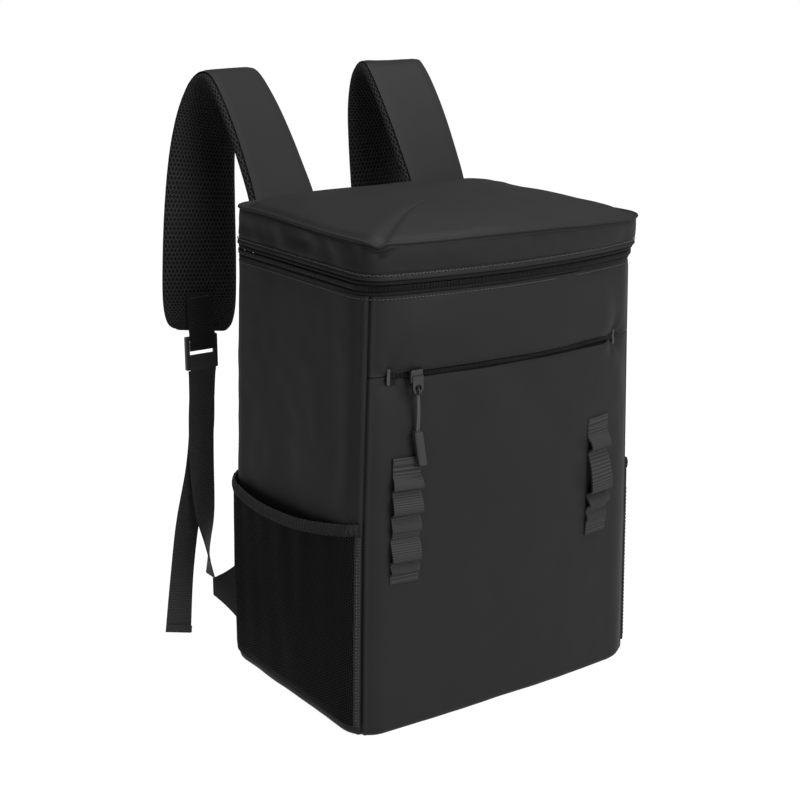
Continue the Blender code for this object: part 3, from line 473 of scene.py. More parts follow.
def sheet(name, columns, rows, shape, wall=0.0, size=None, centre=(0.0, 0.0, 0.2), closed=False):
    """Lays a grid by shape(u, v), each from 0 to 1. size is its width and height in metres for the UV map.
    Its outer face looks away from the centre, or away from inside a closed form."""
    bpy.ops.object.select_all(action="DESELECT")
    bpy.ops.mesh.primitive_grid_add(x_subdivisions=columns, y_subdivisions=rows, size=1.0, calc_uvs=True)
    piece = bpy.context.object
    piece.name = name
    piece.data.name = name
    for vert in piece.data.vertices:
        vert.co = shape(min(max(vert.co.x + 0.5, 0.0), 1.0), min(max(vert.co.y + 0.5, 0.0), 1.0))
    if size is None:
        middle = [shape(i / 20, 0.5) for i in range(21)]
        upright = [shape(0.5, i / 20) for i in range(21)]
        size = [sum((b - a).length for a, b in zip(line, line[1:])) for line in (middle, upright)]
    for item in piece.data.uv_layers[0].uv:
        item.vector = (item.vector.x * size[0], item.vector.y * size[1])
    if closed:
        in_edit_mode(piece, lambda: bpy.ops.mesh.remove_doubles(threshold=0.00002),
                     lambda: bpy.ops.mesh.normals_make_consistent(inside=False))
    else:
        piece.data.update()
        away = sum(face.normal.dot(face.center - Vector(centre)) for face in piece.data.polygons)
        if away < 0:
            in_edit_mode(piece, bpy.ops.mesh.flip_normals)
    if wall:
        thicken(piece, wall)
    return piece


def thicken(piece, wall):
    select_only(piece)
    solid = piece.modifiers.new("cloth", "SOLIDIFY")
    solid.thickness = wall
    solid.offset = -1.0
    solid.use_even_offset = False
    bpy.ops.object.modifier_apply(modifier=solid.name)


def dress(piece, material, slot, *nodes, angle=50):
    """Finishes a piece: smooth shading, material, body and the solids it stands for."""
    select_only(piece)
    bpy.ops.object.shade_smooth_by_angle(angle=math.radians(angle))
    piece.data.materials.clear()
    piece.data.materials.append(material)
    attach(piece, "root")
    if nodes:
        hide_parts(*nodes)
    print(piece.name, len(piece.data.polygons), "faces")
    return piece


def ripple(point, size, seed=0.0):
    """Smooth noise between about -1 and 1, the same on every run."""
    return noise.noise(Vector(point) / size + Vector((seed, seed * 1.7, seed * 0.3)))


# %% [markdown]
# ## The stiff walls
# Foam stiffens the walls, so they stay nearly flat. What shows that they are cloth is small: a shallow
# groove and a ridge where two panels are sewn, the turn under the floor, and slow waves a millimetre deep.


# %% Wall shape
def wall_point(turn, v, top, out):
    """A point on a wall that turns in under the floor. v is 0 under the bag and 1 at the top."""
    foot = 0.07
    if v < foot:
        angle = math.pi / 2 * (1 - v / foot)
        z = FOOT_RADIUS - FOOT_RADIUS * math.sin(angle)
        return round_skin(turn, z, FOOT_RADIUS * (math.cos(angle) - 1) + out)
    z = FOOT_RADIUS + (top - FOOT_RADIUS) * (v - foot) / (1 - foot)
    return round_skin(turn, z, out)


def seam_relief(distance):
    """A groove at the seam and a low ridge beside it, at a distance from the seam in metres."""
    return -0.0010 * bump_at(distance, 0.0, 0.0012) + 0.0008 * bump_at(distance, 0.0030, 0.0015)


def side_wall(side):
    def shape(u, v):
        u = 0.5 - 0.5 * math.cos(math.pi * u)
        along = 1.0 + 0.001 + 0.998 * u
        z = v * BODY_HEIGHT
        from_front = (1 - u) * SIDE_LENGTH
        from_back = u * SIDE_LENGTH
        inner = smooth_step(from_front / 0.03) * smooth_step(from_back / 0.03)
        wave = 0.0010 * ripple((u * 0.2, side, z * 0.35), 0.035)
        wave += 0.0005 * ripple((u * 0.2, side, z), 0.016, 3)
        dish = -0.0012 * math.sin(math.pi * u) * smooth_step((z - 0.12) / 0.1)
        out = inner * (wave + dish) + seam_relief(from_front) * 0.8 + seam_relief(from_back) * 0.5
        return wall_point(side * along, v, BODY_HEIGHT, out)

    hand = "left" if side < 0 else "right"
    piece = sheet(f"side_wall_{hand}", 70, 90, shape, wall=0.004)
    return dress(piece, COATED, "coated_cloth", f"side_panel_{hand}")


for side in (-1, 1):
    side_wall(side)


# %% Back wall and floor
def back_shape(u, v):
    turn = (2 * u - 1) * 0.999
    x = (2 * u - 1) * BODY_WIDTH / 2
    z = v * BODY_HEIGHT
    channel = -0.0022 * bump_at(abs(x), 0.036, 0.004) * smooth_step((z - 0.04) / 0.05)
    edge = seam_relief((1 - abs(turn)) * 0.113) * 0.8
    out = 0.0004 * ripple((x, 0, z), 0.03, 5) + channel + edge
    return wall_point(turn, v, BODY_HEIGHT, out)


dress(sheet("back_wall", 80, 60, back_shape, wall=0.004), COATED, "coated_cloth", "back_panel")


def floor_shape(u, v):
    turn = -3 + 6 * u
    reach = 0.002 + 0.998 * v
    rim = round_skin(turn, 0.0, -FOOT_RADIUS - GAP)
    return Vector((rim.x * reach, rim.y * reach, 0.0))


floor_panel = sheet("base_cloth", 90, 10, floor_shape, wall=0.004, centre=(0, 0, 1))
dress(floor_panel, COATED, "coated_cloth", "base_panel")


# %% [markdown]
# ## The front and its pocket
# One outer panel covers the front. A slit near its top is the pocket's mouth. Below the slit the cloth is
# held by the zip, above it the panel puffs out and hangs over the teeth like a lip. At each end a bar
# tack pulls both panels in, so the cloth dents there. The inner wall behind the pocket carries the rest.


# %% Front panels
def front_turn(u):
    """Stations across the front, -2 at the left seam and 2 at the right one, through the middle."""
    return -2.0 - 2.0 * u if u < 0.5 else 2.0 + 2.0 * (1 - u)


def seam_away(u):
    return min(u, 1 - u) * 2 * FRONT_LENGTH


LEFT_TACK = 0.0175
RIGHT_TACK = 0.0310


def tack_away(u):
    return LEFT_TACK if u < 0.5 else RIGHT_TACK


def slit_half(u):
    return 0.0004 + 0.0024 * smooth_step((seam_away(u) - tack_away(u)) / 0.016)


def tack_dent(u, height):
    away = seam_away(u) - tack_away(u)
    ray = 1 + 0.5 * math.sin(5 * math.atan2(height, away))
    near = -0.0026 * bump_at(away, 0.0, 0.007) * bump_at(height, 0.0, 0.009)
    return near - 0.0016 * ray * bump_at(away, 0.0, 0.015) * bump_at(height, 0.0, 0.018)


def slider_dent(u, height):
    """The shadowed hollow beside and below the slider."""
    x = (u - 0.14) * 2 * FRONT_LENGTH
    return -0.0030 * bump_at(x, -0.006, 0.014) * bump_at(height, -0.014, 0.018)


def front_lower(u, v):
    u = 0.5 - 0.5 * math.cos(math.pi * min(max(u, 0.0005), 0.9995))
    away = seam_away(u)
    top = SLIT_HEIGHT - slit_half(u)
    z = v * top
    below = z - SLIT_HEIGHT
    inner = smooth_step(away / 0.02)
    lip = -0.0016 * bump_at(below, -0.001, 0.0035) * smooth_step((away - 0.008) / 0.02)
    wave = 0.0019 * ripple((u * 0.27, 0, z * 0.6), 0.055, 2) + 0.0004 * ripple((u * 0.27, 0, z), 0.018, 6)
    pull = 0.0007 * math.sin(u * 26 + z * 40) * bump_at(below, -0.01, 0.03)
    out = inner * (wave + pull) + lip + seam_relief(away) + tack_dent(u, below) + slider_dent(u, below)
    return wall_point(front_turn(u), v, top, out)


pocket_cloth = sheet("front_pocket_cloth", 130, 110, front_lower, wall=0.0018)
dress(pocket_cloth, COATED, "coated_cloth", "front_pocket_panel")


def front_upper(u, v):
    u = 0.5 - 0.5 * math.cos(math.pi * min(max(u, 0.0005), 0.9995))
    away = seam_away(u)
    low = SLIT_HEIGHT + slit_half(u)
    z = low + (BODY_HEIGHT - low) * v
    above = z - SLIT_HEIGHT
    open_here = smooth_step((away - tack_away(u) + 0.004) / 0.025)
    puff = 0.0030 * math.sin(math.pi * min(1.0, 0.16 + 0.84 * v)) * open_here
    roll = -0.0022 * bump_at(above, 0.002, 0.0028) * open_here
    wave = 0.0013 * ripple((u * 0.27, 0, z), 0.035, 8) * smooth_step(away / 0.02)
    crease = -0.0007 * bump_at(z, BODY_HEIGHT, 0.004)
    out = puff + roll + wave + crease + seam_relief(away) + tack_dent(u, above)
    return round_skin(front_turn(u), z, out)


upper_cloth = sheet("front_upper_cloth", 130, 44, front_upper, wall=0.0018)
dress(upper_cloth, COATED, "coated_cloth", "front_upper_panel")


def inner_front(u, v):
    u = min(max(u, 0.001), 0.999)
    away = seam_away(u)
    z = v * BODY_HEIGHT
    room = 0.007 * smooth_step((away - 0.004) / 0.020) * smooth_step((z - 0.007) / 0.025)
    room *= smooth_step((SLIT_HEIGHT + 0.032 - z) / 0.020)
    return wall_point(front_turn(u), v, BODY_HEIGHT - 0.0005, -0.0028 - room)


dress(sheet("front_inner_wall", 60, 50, inner_front, wall=0.004), COATED, "coated_cloth", "front_wall")

# %% [markdown]
# ## Zips
# A coil zip is two woven tapes with a bent plastic thread sewn to each. Closed, it looks like one ribbed
# cord. The tapes are cloth strips. One tooth is a small rounded block, modelled once, and copies of it
# stand side by side along the zip.


# %% Zip tapes
def strip(name, turns, low, high, out, material, slot, *nodes, columns=160, wall=0.001):
    """A cloth strip that follows the skin between two heights."""
    def shape(u, v):
        turn = turns(u)
        z = low + (high - low) * v
        return round_skin(turn, z, out(u, v))

    return dress(sheet(name, columns, 6, shape, wall=wall), material, slot, *nodes)


def round_front(u):
    """From the left back seam over the front to the right back seam."""
    half = 1.001 + 1.999 * (2 * u if u < 0.5 else 2 - 2 * u)
    return -half if u < 0.5 else half


CHAIN_LOW = BODY_HEIGHT + (ZIP_HEIGHT - CHAIN_HEIGHT) / 2
CHAIN_HIGH = CHAIN_LOW + CHAIN_HEIGHT


def tape_swell(u, v):
    return 0.0010 * math.sin(math.pi * v) - 0.0006


strip("zip_tape_low", round_front, BODY_HEIGHT + 0.0002, CHAIN_LOW, tape_swell, TAPE_BLACK_WITH_PAINTED_SHADE, "zip_cloth",
      "zip_tape_lower")
strip("zip_tape_high", round_front, CHAIN_HIGH, LID_BOTTOM - 0.0002, tape_swell, TAPE_BLACK_WITH_PAINTED_SHADE, "zip_cloth",
      "zip_tape_upper")
strip("lid_hinge_cloth", lambda u: (2 * u - 1) * 0.998, BODY_HEIGHT + 0.0002, LID_BOTTOM - 0.0002,
      lambda u, v: -0.0008 - 0.0014 * math.sin(math.pi * v), COATED, "coated_cloth", "lid_hinge", columns=60)


# %% Teeth
def master(name, steps):
    """A small shape made once by operators, kept as points and faces."""
    bpy.ops.object.select_all(action="DESELECT")
    steps()
    piece = bpy.context.object
    piece.name = name
    points = [vert.co.copy() for vert in piece.data.vertices]
    faces = [tuple(face.vertices) for face in piece.data.polygons]
    bpy.data.objects.remove(piece, do_unlink=True)
    return points, faces


def copies(name, shape, places, material, slot, *nodes, angle=40):
    """One mesh of many copies. A place is (point, direction of X, direction of Z, scale)."""
    points, faces = shape
    verts = []
    polygons = []
    for place, x_axis, z_axis, scale in places:
        x_axis = x_axis.normalized()
        y_axis = z_axis.cross(x_axis).normalized()
        turn = Matrix((x_axis, y_axis, x_axis.cross(y_axis))).transposed()
        first = len(verts)
        verts += [place + turn @ Vector((p.x * scale[0], p.y * scale[1], p.z * scale[2])) for p in points]
        polygons += [tuple(first + i for i in face) for face in faces]
    mesh = bpy.data.meshes.new(name)
    mesh.from_pydata(verts, [], polygons)
    piece = bpy.data.objects.new(name, mesh)
    bpy.context.scene.collection.objects.link(piece)
    return dress(piece, material, slot, *nodes, angle=angle)


def make_tooth():
    bpy.ops.mesh.primitive_cube_add(size=1.0)
    bpy.ops.object.mode_set(mode="EDIT")
    bpy.ops.mesh.bevel(offset=0.28, segments=2, affect="EDGES")
    bpy.ops.object.mode_set(mode="OBJECT")


TOOTH = master("tooth", make_tooth)


def even_places(turns, z, out, pitch, first=0.0, last=1.0, count=900):
    """Points at an even pitch along a line of turns, each with its direction and outward normal."""
    line = [round_skin(turns(first + (last - first) * i / count), z, out) for i in range(count + 1)]
    outer = [round_skin(turns(first + (last - first) * i / count), z, out + 0.002) for i in range(count + 1)]
    found = []
    run = 0.0
    for i in range(1, len(line)):
        run += (line[i] - line[i - 1]).length
        if run >= pitch:
            run -= pitch
            found.append((line[i], line[i] - line[i - 1], outer[i] - line[i]))
    return found


COIL_PITCH = 0.00125
teeth = even_places(round_front, (CHAIN_LOW + CHAIN_HIGH) / 2, -0.0004, COIL_PITCH, count=2400)
TOOTH_SIZE = (0.00085, CHAIN_HEIGHT * 0.86, 0.0022)
copies("zip_coil", TOOTH, [(*place, TOOTH_SIZE) for place in teeth], COIL_BLACK_WITH_PAINTED_SHADE, "zip_cloth", "zip_chain")

# %% [markdown]
# The front zip lies deep in the slit, so only its dark coil shows between the two lips of cloth. Coil and tape
# are painted darker than the cloth: partly their own black, partly painted shade of the slit.


# %% Front zip
def across_slit(u):
    return front_turn(0.055 + 0.89 * u)


strip("front_zip_tape_cloth", across_slit, SLIT_HEIGHT - 0.007, SLIT_HEIGHT + 0.007, lambda u, v: -0.0040,
      TAPE_BLACK_WITH_PAINTED_SHADE, "zip_cloth", "front_zip_tape")
FRONT_COIL_PITCH = 0.00110
teeth = even_places(across_slit, SLIT_HEIGHT, -0.0030, FRONT_COIL_PITCH, count=1200)
FRONT_TOOTH_SIZE = (0.00075, 0.0038, 0.0016)
copies("front_zip_coil", TOOTH, [(*place, FRONT_TOOTH_SIZE) for place in teeth], COIL_BLACK_WITH_PAINTED_SHADE, "zip_cloth",
       "front_zip_chain")

# %% [markdown]
# ## The lid
# The lid is a low box of soft cloth over foam. Its upright band is limp enough to dent, most of all on
# the left side, where short folds hang under the seam. The top is a padded crown. Both meet in a seam
# that stands up as a narrow ridge, pinched to a notch at the front left corner.

# %% Lid band
BandDent = namedtuple("BandDent", "turn height width tall depth")
BAND_DENTS = (
    BandDent(turn=-1.20, height=0.55, width=0.10, tall=0.30, depth=0.0016),
    BandDent(turn=-1.38, height=0.35, width=0.06, tall=0.45, depth=0.0020),
    BandDent(turn=-1.58, height=0.62, width=0.08, tall=0.30, depth=0.0022),
    BandDent(turn=-1.76, height=0.40, width=0.05, tall=0.40, depth=0.0017),
    BandDent(turn=-1.92, height=0.60, width=0.05, tall=0.50, depth=0.0018),
    BandDent(turn=-2.05, height=0.86, width=0.05, tall=0.20, depth=0.0026),
    BandDent(turn=-2.40, height=0.25, width=0.22, tall=0.25, depth=0.0010),
    BandDent(turn=2.70, height=0.72, width=0.30, tall=0.20, depth=0.0009),
    BandDent(turn=2.15, height=0.45, width=0.10, tall=0.40, depth=0.0014),
    BandDent(turn=1.70, height=0.50, width=0.12, tall=0.35, depth=0.0018),
    BandDent(turn=1.35, height=0.60, width=0.10, tall=0.35, depth=0.0016),
    BandDent(turn=0.30, height=0.50, width=0.35, tall=0.40, depth=0.0014),
    BandDent(turn=-0.45, height=0.50, width=0.20, tall=0.40, depth=0.0012),
)


def lid_sag(turn):
    """How far the lid's seam hangs under its mean height: lower on the right, a dip at the pinched corner."""
    point = round_skin(turn, LID_SEAM)
    right = -0.0050 * smooth_step((point.x + 0.02) / 0.15) * smooth_step((0.12 - point.y) / 0.1)
    left_back = 0.0020 * smooth_step((-0.02 - point.x) / 0.1) * smooth_step((point.y + 0.05) / 0.1)
    notch = -0.0030 * bump_at(turn, -2.03, 0.035)
    return right + left_back + notch + 0.0006 * ripple(point, 0.03, 12)


def band_shape(u, v):
    turn = -3 + 6 * u
    z = LID_BOTTOM + 0.0003 + (LID_BAND_HEIGHT - 0.0006 + lid_sag(turn)) * v
    swell = 0.0016 * math.sin(math.pi * v) ** 0.7
    hem = 0.0012 * bump_at(v, 0.0, 0.10) - 0.0008 * bump_at(v, 0.17, 0.05)
    tuck = -0.0020 * bump_at(v, 1.0, 0.05)
    dents = 0.0
    for dent in BAND_DENTS:
        dents -= 1.5 * dent.depth * bump_at(turn, dent.turn, dent.width) * bump_at(v, dent.height, dent.tall)
    point = round_skin(turn, z)
    wave = 0.0009 * ripple(point, 0.022, 9) + 0.0004 * ripple(point, 0.009, 4)
    out = swell + hem + tuck + (dents + wave) * math.sin(math.pi * min(max(v, 0.02), 0.98)) ** 0.5
    return round_skin(turn, z, out)


band_cloth = sheet("lid_band_cloth", 420, 36, band_shape, wall=0.0035)
dress(band_cloth, COATED, "coated_cloth", "lid_band")


# %% Lid top
def lid_shape(u, v):
    turn = -3 + 6 * u
    reach = 1.0 - v
    rim = round_skin(turn, LID_SEAM)
    aim = Vector((rim.x, rim.y)).normalized()
    oval = aim / math.hypot(aim.x / 0.128, aim.y / 0.098)
    rounder = (1 - reach) ** 0.8
    x = (rim.x + (oval.x - rim.x) * rounder) * reach
    y = (rim.y + (oval.y - rim.y) * rounder) * reach
    inwards = (1 - reach) * 0.12
    crown = LID_CROWN * (1 - (1 - min(inwards / 0.070, 1.0)) ** 3.0)
    groove = -0.0022 * bump_at(inwards, 0.0034, 0.0024) + 0.0010 * bump_at(inwards, 0.0, 0.0016)
    sag = lid_sag(turn) * reach ** 2
    wave = 0.0012 * ripple((x, y, 0), 0.045, 7) * min(1.0, inwards / 0.01)
    pucker = 0.0005 * ripple((x, y, 0), 0.012, 2) * bump_at(inwards, 0.008, 0.010)
    return Vector((x, y, LID_SEAM + crown + groove + sag + wave + pucker))


lid = sheet("lid_top_cloth", 300, 60, lambda u, v: lid_shape(u, v ** 1.15), centre=(0, 0, 0.3))
in_edit_mode(lid, lambda: bpy.ops.mesh.remove_doubles(threshold=0.00002))
thicken(lid, 0.004)
dress(lid, COATED, "coated_cloth", "lid_top")


# %% Lid seam
def tube_round(name, path, radius, material, slot, sides=8):
    """A closed roll of cloth along a closed path."""
    count = len(path)

    def shape(u, v):
        i = round(u * count) % count
        ahead = path[(i + 1) % count] - path[i - 1]
        across = ahead.cross(Vector((0, 0, 1))).normalized()
        angle = math.tau * v
        return path[i] + across * math.cos(angle) * radius + Vector((0, 0, math.sin(angle) * radius))

    size = (sum((b - a).length for a, b in zip(path, path[1:])), math.tau * radius)
    piece = sheet(name, count, sides, shape, closed=True, size=size)
    return dress(piece, material, slot)


seam_path = []
for i in range(360):
    turn = -3 + 6 * i / 360
    rim = round_skin(turn, LID_SEAM, 0.0006)
    seam_path.append(rim + Vector((0, 0, lid_sag(turn) + 0.0002)))
tube_round("lid_seam_roll", seam_path, 0.0013, COATED, "coated_cloth")

# %% [markdown]
# ## Stitches
# A lockstitch is a short bead of thread that dips into the cloth at both ends. One bead is a stretched
# sphere. Rows of it run along the lid's lower edge and the body's upper one, down the side pockets' front
# seams, and across the places where webbing is sewn.

# %% Stitch rows
def make_bead():
    bpy.ops.mesh.primitive_uv_sphere_add(segments=6, ring_count=5, radius=0.5)


BEAD = master("bead", make_bead)
STITCH_LENGTH = 0.0026
THREAD_WIDTH = 0.0008


def stitch_row(name, places, lean=0.0, width=THREAD_WIDTH):
    """Beads along a line of (point, direction, normal), each one leaning to make a zigzag if asked."""
    made = []
    for i, (point, along, normal) in enumerate(places):
        turned = along.copy()
        turned.rotate(Matrix.Rotation(math.radians(lean if i % 2 else -lean), 3, normal.normalized()))
        made.append((point, turned, normal, (STITCH_LENGTH, width, width * 0.8)))
    return copies(name, BEAD, made, THREAD, "webbing_cloth")


lid_edge = even_places(round_front, LID_BOTTOM + 0.0042, 0.0012, 0.0027, count=1600)
stitch_row("lid_edge_stitches", lid_edge, lean=24)
body_edge = even_places(round_front, BODY_HEIGHT - 0.0022, 0.0002, 0.0031, 0.02, 0.98, 1600)
stitch_row("body_edge_stitches", body_edge)


def seam_stitches(name, turn, low, high, out):
    count = int((high - low) / 0.0033)
    places = []
    for i in range(count):
        z = low + (high - low) * (i + 0.5) / count
        point = round_skin(turn, z, out)
        places.append((point, Vector((0, 0, 1)), round_skin(turn, z, out + 0.002) - point))
    return stitch_row(name, places)




# %% Bar tacks at the pocket's mouth
def bar_tack(name, turn, z, width, height, out):
    """A dense patch of thread across the end of the slit."""
    places = []
    rows = int(height / 0.0006)
    for i in range(rows):
        point = round_skin(turn, z - height / 2 + height * i / rows, out)
        beside = round_skin(turn + 0.01, z - height / 2 + height * i / rows, out)
        normal = round_skin(turn, z - height / 2 + height * i / rows, out + 0.002) - point
        places.append((point, beside - point, normal, (width, 0.0007, 0.0008)))
    return copies(name, BEAD, places, THREAD, "webbing_cloth")


bar_tack("slit_tack_left", -2 - LEFT_TACK / FRONT_LENGTH, SLIT_HEIGHT, 0.0032, 0.0120, -0.0022)
bar_tack("slit_tack_right", 2 + RIGHT_TACK / FRONT_LENGTH, SLIT_HEIGHT, 0.0032, 0.0120, -0.0022)

# %% [markdown]
# ## Webbing ladders
# Each ladder is one length of webbing, sewn down at every crease and pushed up into loops that droop a
# little, so things can be clipped to it. The side view of the webbing is one bent line. A grid is laid
# along that line, rounded at each lip, and given the webbing's thickness.

# %% Ladder
LADDER_WIDTH = 0.0240
LADDER_TOP = 0.2260
LADDER_LENGTH = 0.0995
LEFT_LADDER_EDGE = 0.0215
RIGHT_LADDER_EDGE = 0.0410
LADDER_LIFT = 0.0056
WEBBING_THICKNESS = 0.0014
Loop = namedtuple("Loop", "top lip crease lift")
LEFT_LOOPS = (
    Loop(top=0.13, lip=0.240, crease=0.270, lift=0.90),
    Loop(top=0.27, lip=0.430, crease=0.470, lift=1.00),
    Loop(top=0.47, lip=0.580, crease=0.650, lift=0.60),
    Loop(top=0.65, lip=0.815, crease=0.845, lift=0.85),
    Loop(top=0.845, lip=0.915, crease=0.945, lift=0.50),
)
RIGHT_LOOPS = (
    Loop(top=0.14, lip=0.260, crease=0.290, lift=0.85),
    Loop(top=0.29, lip=0.620, crease=0.655, lift=1.15),
    Loop(top=0.655, lip=0.745, crease=0.785, lift=0.80),
    Loop(top=0.80, lip=0.880, crease=0.950, lift=0.30),
)


def smooth_line(points, steps):
    """A curve through rows of numbers that passes each of them."""
    rows = [points[0]] + list(points) + [points[-1]]
    made = []
    for a, b, c, d in zip(rows, rows[1:], rows[2:], rows[3:]):
        for step in range(steps):
            t = step / steps
            made.append([
                0.5 * (2 * q + (r - p) * t
                       + (2 * p - 5 * q + 4 * r - s) * t * t
                       + (3 * q - p - 3 * r + s) * t ** 3)
                for p, q, r, s in zip(a, b, c, d)
            ])
    made.append(list(points[-1]))
    return made


def ladder_line(loops):
    """The webbing's outer face from the side: rows of (share down, distance from the skin)."""
    rest = GAP + WEBBING_THICKNESS
    path = [(0.0, rest)]
    for loop in loops:
        lift = rest + LADDER_LIFT * loop.lift
        length = loop.lip - loop.top
        path.append((loop.top, rest))
        path.append((loop.top + 0.35 * length, rest + 0.62 * (lift - rest)))
        path.append((loop.top + 0.75 * length, lift))
        path.append((loop.lip - 0.002, lift * 0.98))
        path.append((loop.lip + 0.004, lift * 0.80))
        path.append((loop.crease - 0.010, rest + 0.20 * (lift - rest)))
    path.append((loops[-1].crease, rest))
    path.append((1.0, rest))
    return smooth_line(path, 4)


def ladder(hand, side, loops):
    edge = LEFT_LADDER_EDGE if side < 0 else RIGHT_LADDER_EDGE
    line = ladder_line(loops)

    def shape(u, v):
        down, lift = line[round((1 - v) * (len(line) - 1))]
        away = edge + LADDER_WIDTH * (u if side < 0 else 1 - u)
        flare = 0.0004 * math.sin(37 * v) * (2 * u - 1)
        z = LADDER_TOP - LADDER_LENGTH * down - 0.0012 * (u - 0.5) * (1 if side < 0 else -1) * 0.5
        return round_skin(side * (2 + (away + flare) / FRONT_LENGTH), z, lift)

    run = sum(math.hypot((b[0] - a[0]) * LADDER_LENGTH, b[1] - a[1]) for a, b in zip(line, line[1:]))
    piece = sheet(f"ladder_{hand}", 10, len(line) - 1, shape, wall=WEBBING_THICKNESS,
                  size=(LADDER_WIDTH, run))
    dress(piece, WEBBING, "webbing_cloth", f"webbing_ladder_{hand}", angle=60)
    rows = []
    for down in [loop.crease for loop in loops] + [0.025, 0.085, 0.975]:
        for i in range(9):
            away = edge + 0.002 + (LADDER_WIDTH - 0.004) * i / 8
            z = LADDER_TOP - LADDER_LENGTH * down
            point = round_skin(side * (2 + away / FRONT_LENGTH), z, GAP + WEBBING_THICKNESS + 0.0002)
            ahead = round_skin(side * (2 + (away + 0.001) / FRONT_LENGTH), z, GAP + WEBBING_THICKNESS + 0.0002)
            normal = round_skin(side * (2 + away / FRONT_LENGTH), z, 0.01) - point
            rows.append((point, ahead - point, normal))
    stitch_row(f"ladder_stitches_{hand}", rows)


ladder("left", -1, LEFT_LOOPS)
ladder("right", 1, RIGHT_LOOPS)

# %% [markdown]
# ## Mesh side pockets
# Netting is sewn into the two seams and the floor, and stands off the wall a little. Elastic in the rim
# draws it to a sagging curve. The rim is a folded binding, gathered by the elastic into fine ridges.

# %% Side pockets
POCKET_HEIGHT = 0.160
POCKET_BULGE = 0.0075
POCKET_SAG = 0.012
POCKET_FOOT = 0.010
BINDING_HEIGHT = 0.0095
SWELL = ((0.0, 0.0), (0.05, 0.45), (0.25, 0.70), (0.60, 0.85), (1.0, 1.0))


def swell_at(height):
    for (low, first), (high, second) in zip(SWELL, SWELL[1:]):
        if height <= high:
            return first + (second - first) * (height - low) / (high - low)
    return 1.0


def pocket_off(u, height):
    from_back = smooth_step(u * SIDE_LENGTH / 0.085)
    from_front = smooth_step((1 - u) * SIDE_LENGTH / 0.080)
    return GAP + POCKET_BULGE * swell_at(height) * from_back * from_front


def pocket_rim(u):
    return POCKET_HEIGHT + POCKET_SAG * ((2 * u - 0.75) ** 2) / 1.1 - BINDING_HEIGHT


def side_pocket(hand, side):
    margin = 0.002 / SIDE_LENGTH

    def netting(u, v):
        share = margin + (1 - 2 * margin) * u
        z = POCKET_FOOT + (pocket_rim(share) + 0.001 - POCKET_FOOT) * v
        edge = smooth_step(share * 8) * smooth_step((1 - share) * 8)
        fold = 0.0012 * ripple((share * 0.19, side, z * 0.25), 0.02, 15) * edge * smooth_step(v * 3)
        fold += 0.0007 * math.sin(46 * share + 14 * z) * edge * v
        return round_skin(side * (1 + share), z, pocket_off(share, v) + 0.0012 + fold)

    piece = sheet(f"pocket_netting_{hand}", 80, 60, netting, wall=0.0009)
    dress(piece, NETTING, "mesh_cloth", f"side_pocket_{hand}")

    def binding(u, v):
        share = margin + (1 - 2 * margin) * u
        z = pocket_rim(share) + BINDING_HEIGHT * v + 0.0003 * math.sin(260 * share)
        off = max(pocket_off(share, 1.0) - 0.0003, GAP)
        gather = 0.00030 * math.sin(share * SIDE_LENGTH / 0.0036 * math.tau) * math.sin(math.pi * v)
        roll = 0.0024 + 0.0008 * math.sin(math.pi * v) + gather
        curl = 0.0030 * bump_at(share, 0.0, 0.09) * v
        return round_skin(side * (1 + share), z, off + roll + curl)

    run = sheet(f"pocket_binding_{hand}", 240, 10, binding, wall=0.0022, size=(BINDING_HEIGHT, SIDE_LENGTH))
    dress(run, BINDING, "webbing_cloth", f"side_pocket_binding_{hand}")

    def edge_tape(u, v):
        z = POCKET_FOOT + (pocket_rim(0.97) - POCKET_FOOT) * v
        share = 1 - (0.0005 + 0.0050 * u) / SIDE_LENGTH
        return round_skin(side * (1 + share), z, 0.0016 + 0.0009 * math.sin(math.pi * u))

    tape = sheet(f"pocket_front_tape_{hand}", 6, 60, edge_tape, wall=0.0010)
    dress(tape, BINDING, "webbing_cloth")
    seam = side * (2 - 0.003 / SIDE_LENGTH)
    seam_stitches(f"pocket_seam_stitches_{hand}", seam, POCKET_FOOT + 0.004, 0.150, 0.0026)


side_pocket("left", -1)
side_pocket("right", 1)

# %% [markdown]
# ## Shoulder pads
# A pad is foam between a smooth outer cloth and a spacer mesh whose holes let air through. The mesh wraps
# the edges, so it shows as a dark rim beside the smooth face. The pad is a grid wrapped round its own
# section. The outer cloth is a second, thin grid laid on the pad's outer face.

# %% Strap tables
PAD_WIDTH = 0.064
PAD_THICKNESS = 0.010
STRAP_ROOT = 0.0785
LEFT_STRAP_SPREAD = 0.1175
RIGHT_STRAP_SPREAD = 0.0880
STRAP_REACH = 0.100
STRAP_TOP = 0.485
PadRow = namedtuple("PadRow", "spread reach height width turn")
PAD_ROWS = (
    PadRow(spread=0.00, reach=0.060, height=0.725, width=0.97, turn=0),
    PadRow(spread=0.00, reach=0.070, height=0.790, width=0.97, turn=0),
    PadRow(spread=0.03, reach=0.250, height=0.860, width=0.96, turn=5),
    PadRow(spread=0.08, reach=0.470, height=0.930, width=0.95, turn=9),
    PadRow(spread=0.15, reach=0.690, height=0.985, width=0.93, turn=12),
    PadRow(spread=0.21, reach=0.820, height=1.000, width=0.93, turn=13),
    PadRow(spread=0.29, reach=0.940, height=0.982, width=0.95, turn=12),
    PadRow(spread=0.44, reach=1.010, height=0.930, width=1.00, turn=9),
    PadRow(spread=0.60, reach=1.020, height=0.860, width=1.04, turn=6),
    PadRow(spread=0.74, reach=0.990, height=0.770, width=1.09, turn=3),
    PadRow(spread=0.85, reach=0.950, height=0.680, width=1.12, turn=1),
    PadRow(spread=0.95, reach=0.905, height=0.600, width=1.10, turn=0),
    PadRow(spread=0.98, reach=0.875, height=0.563, width=0.96, turn=0),
    PadRow(spread=1.00, reach=0.865, height=0.550, width=0.70, turn=0),
)


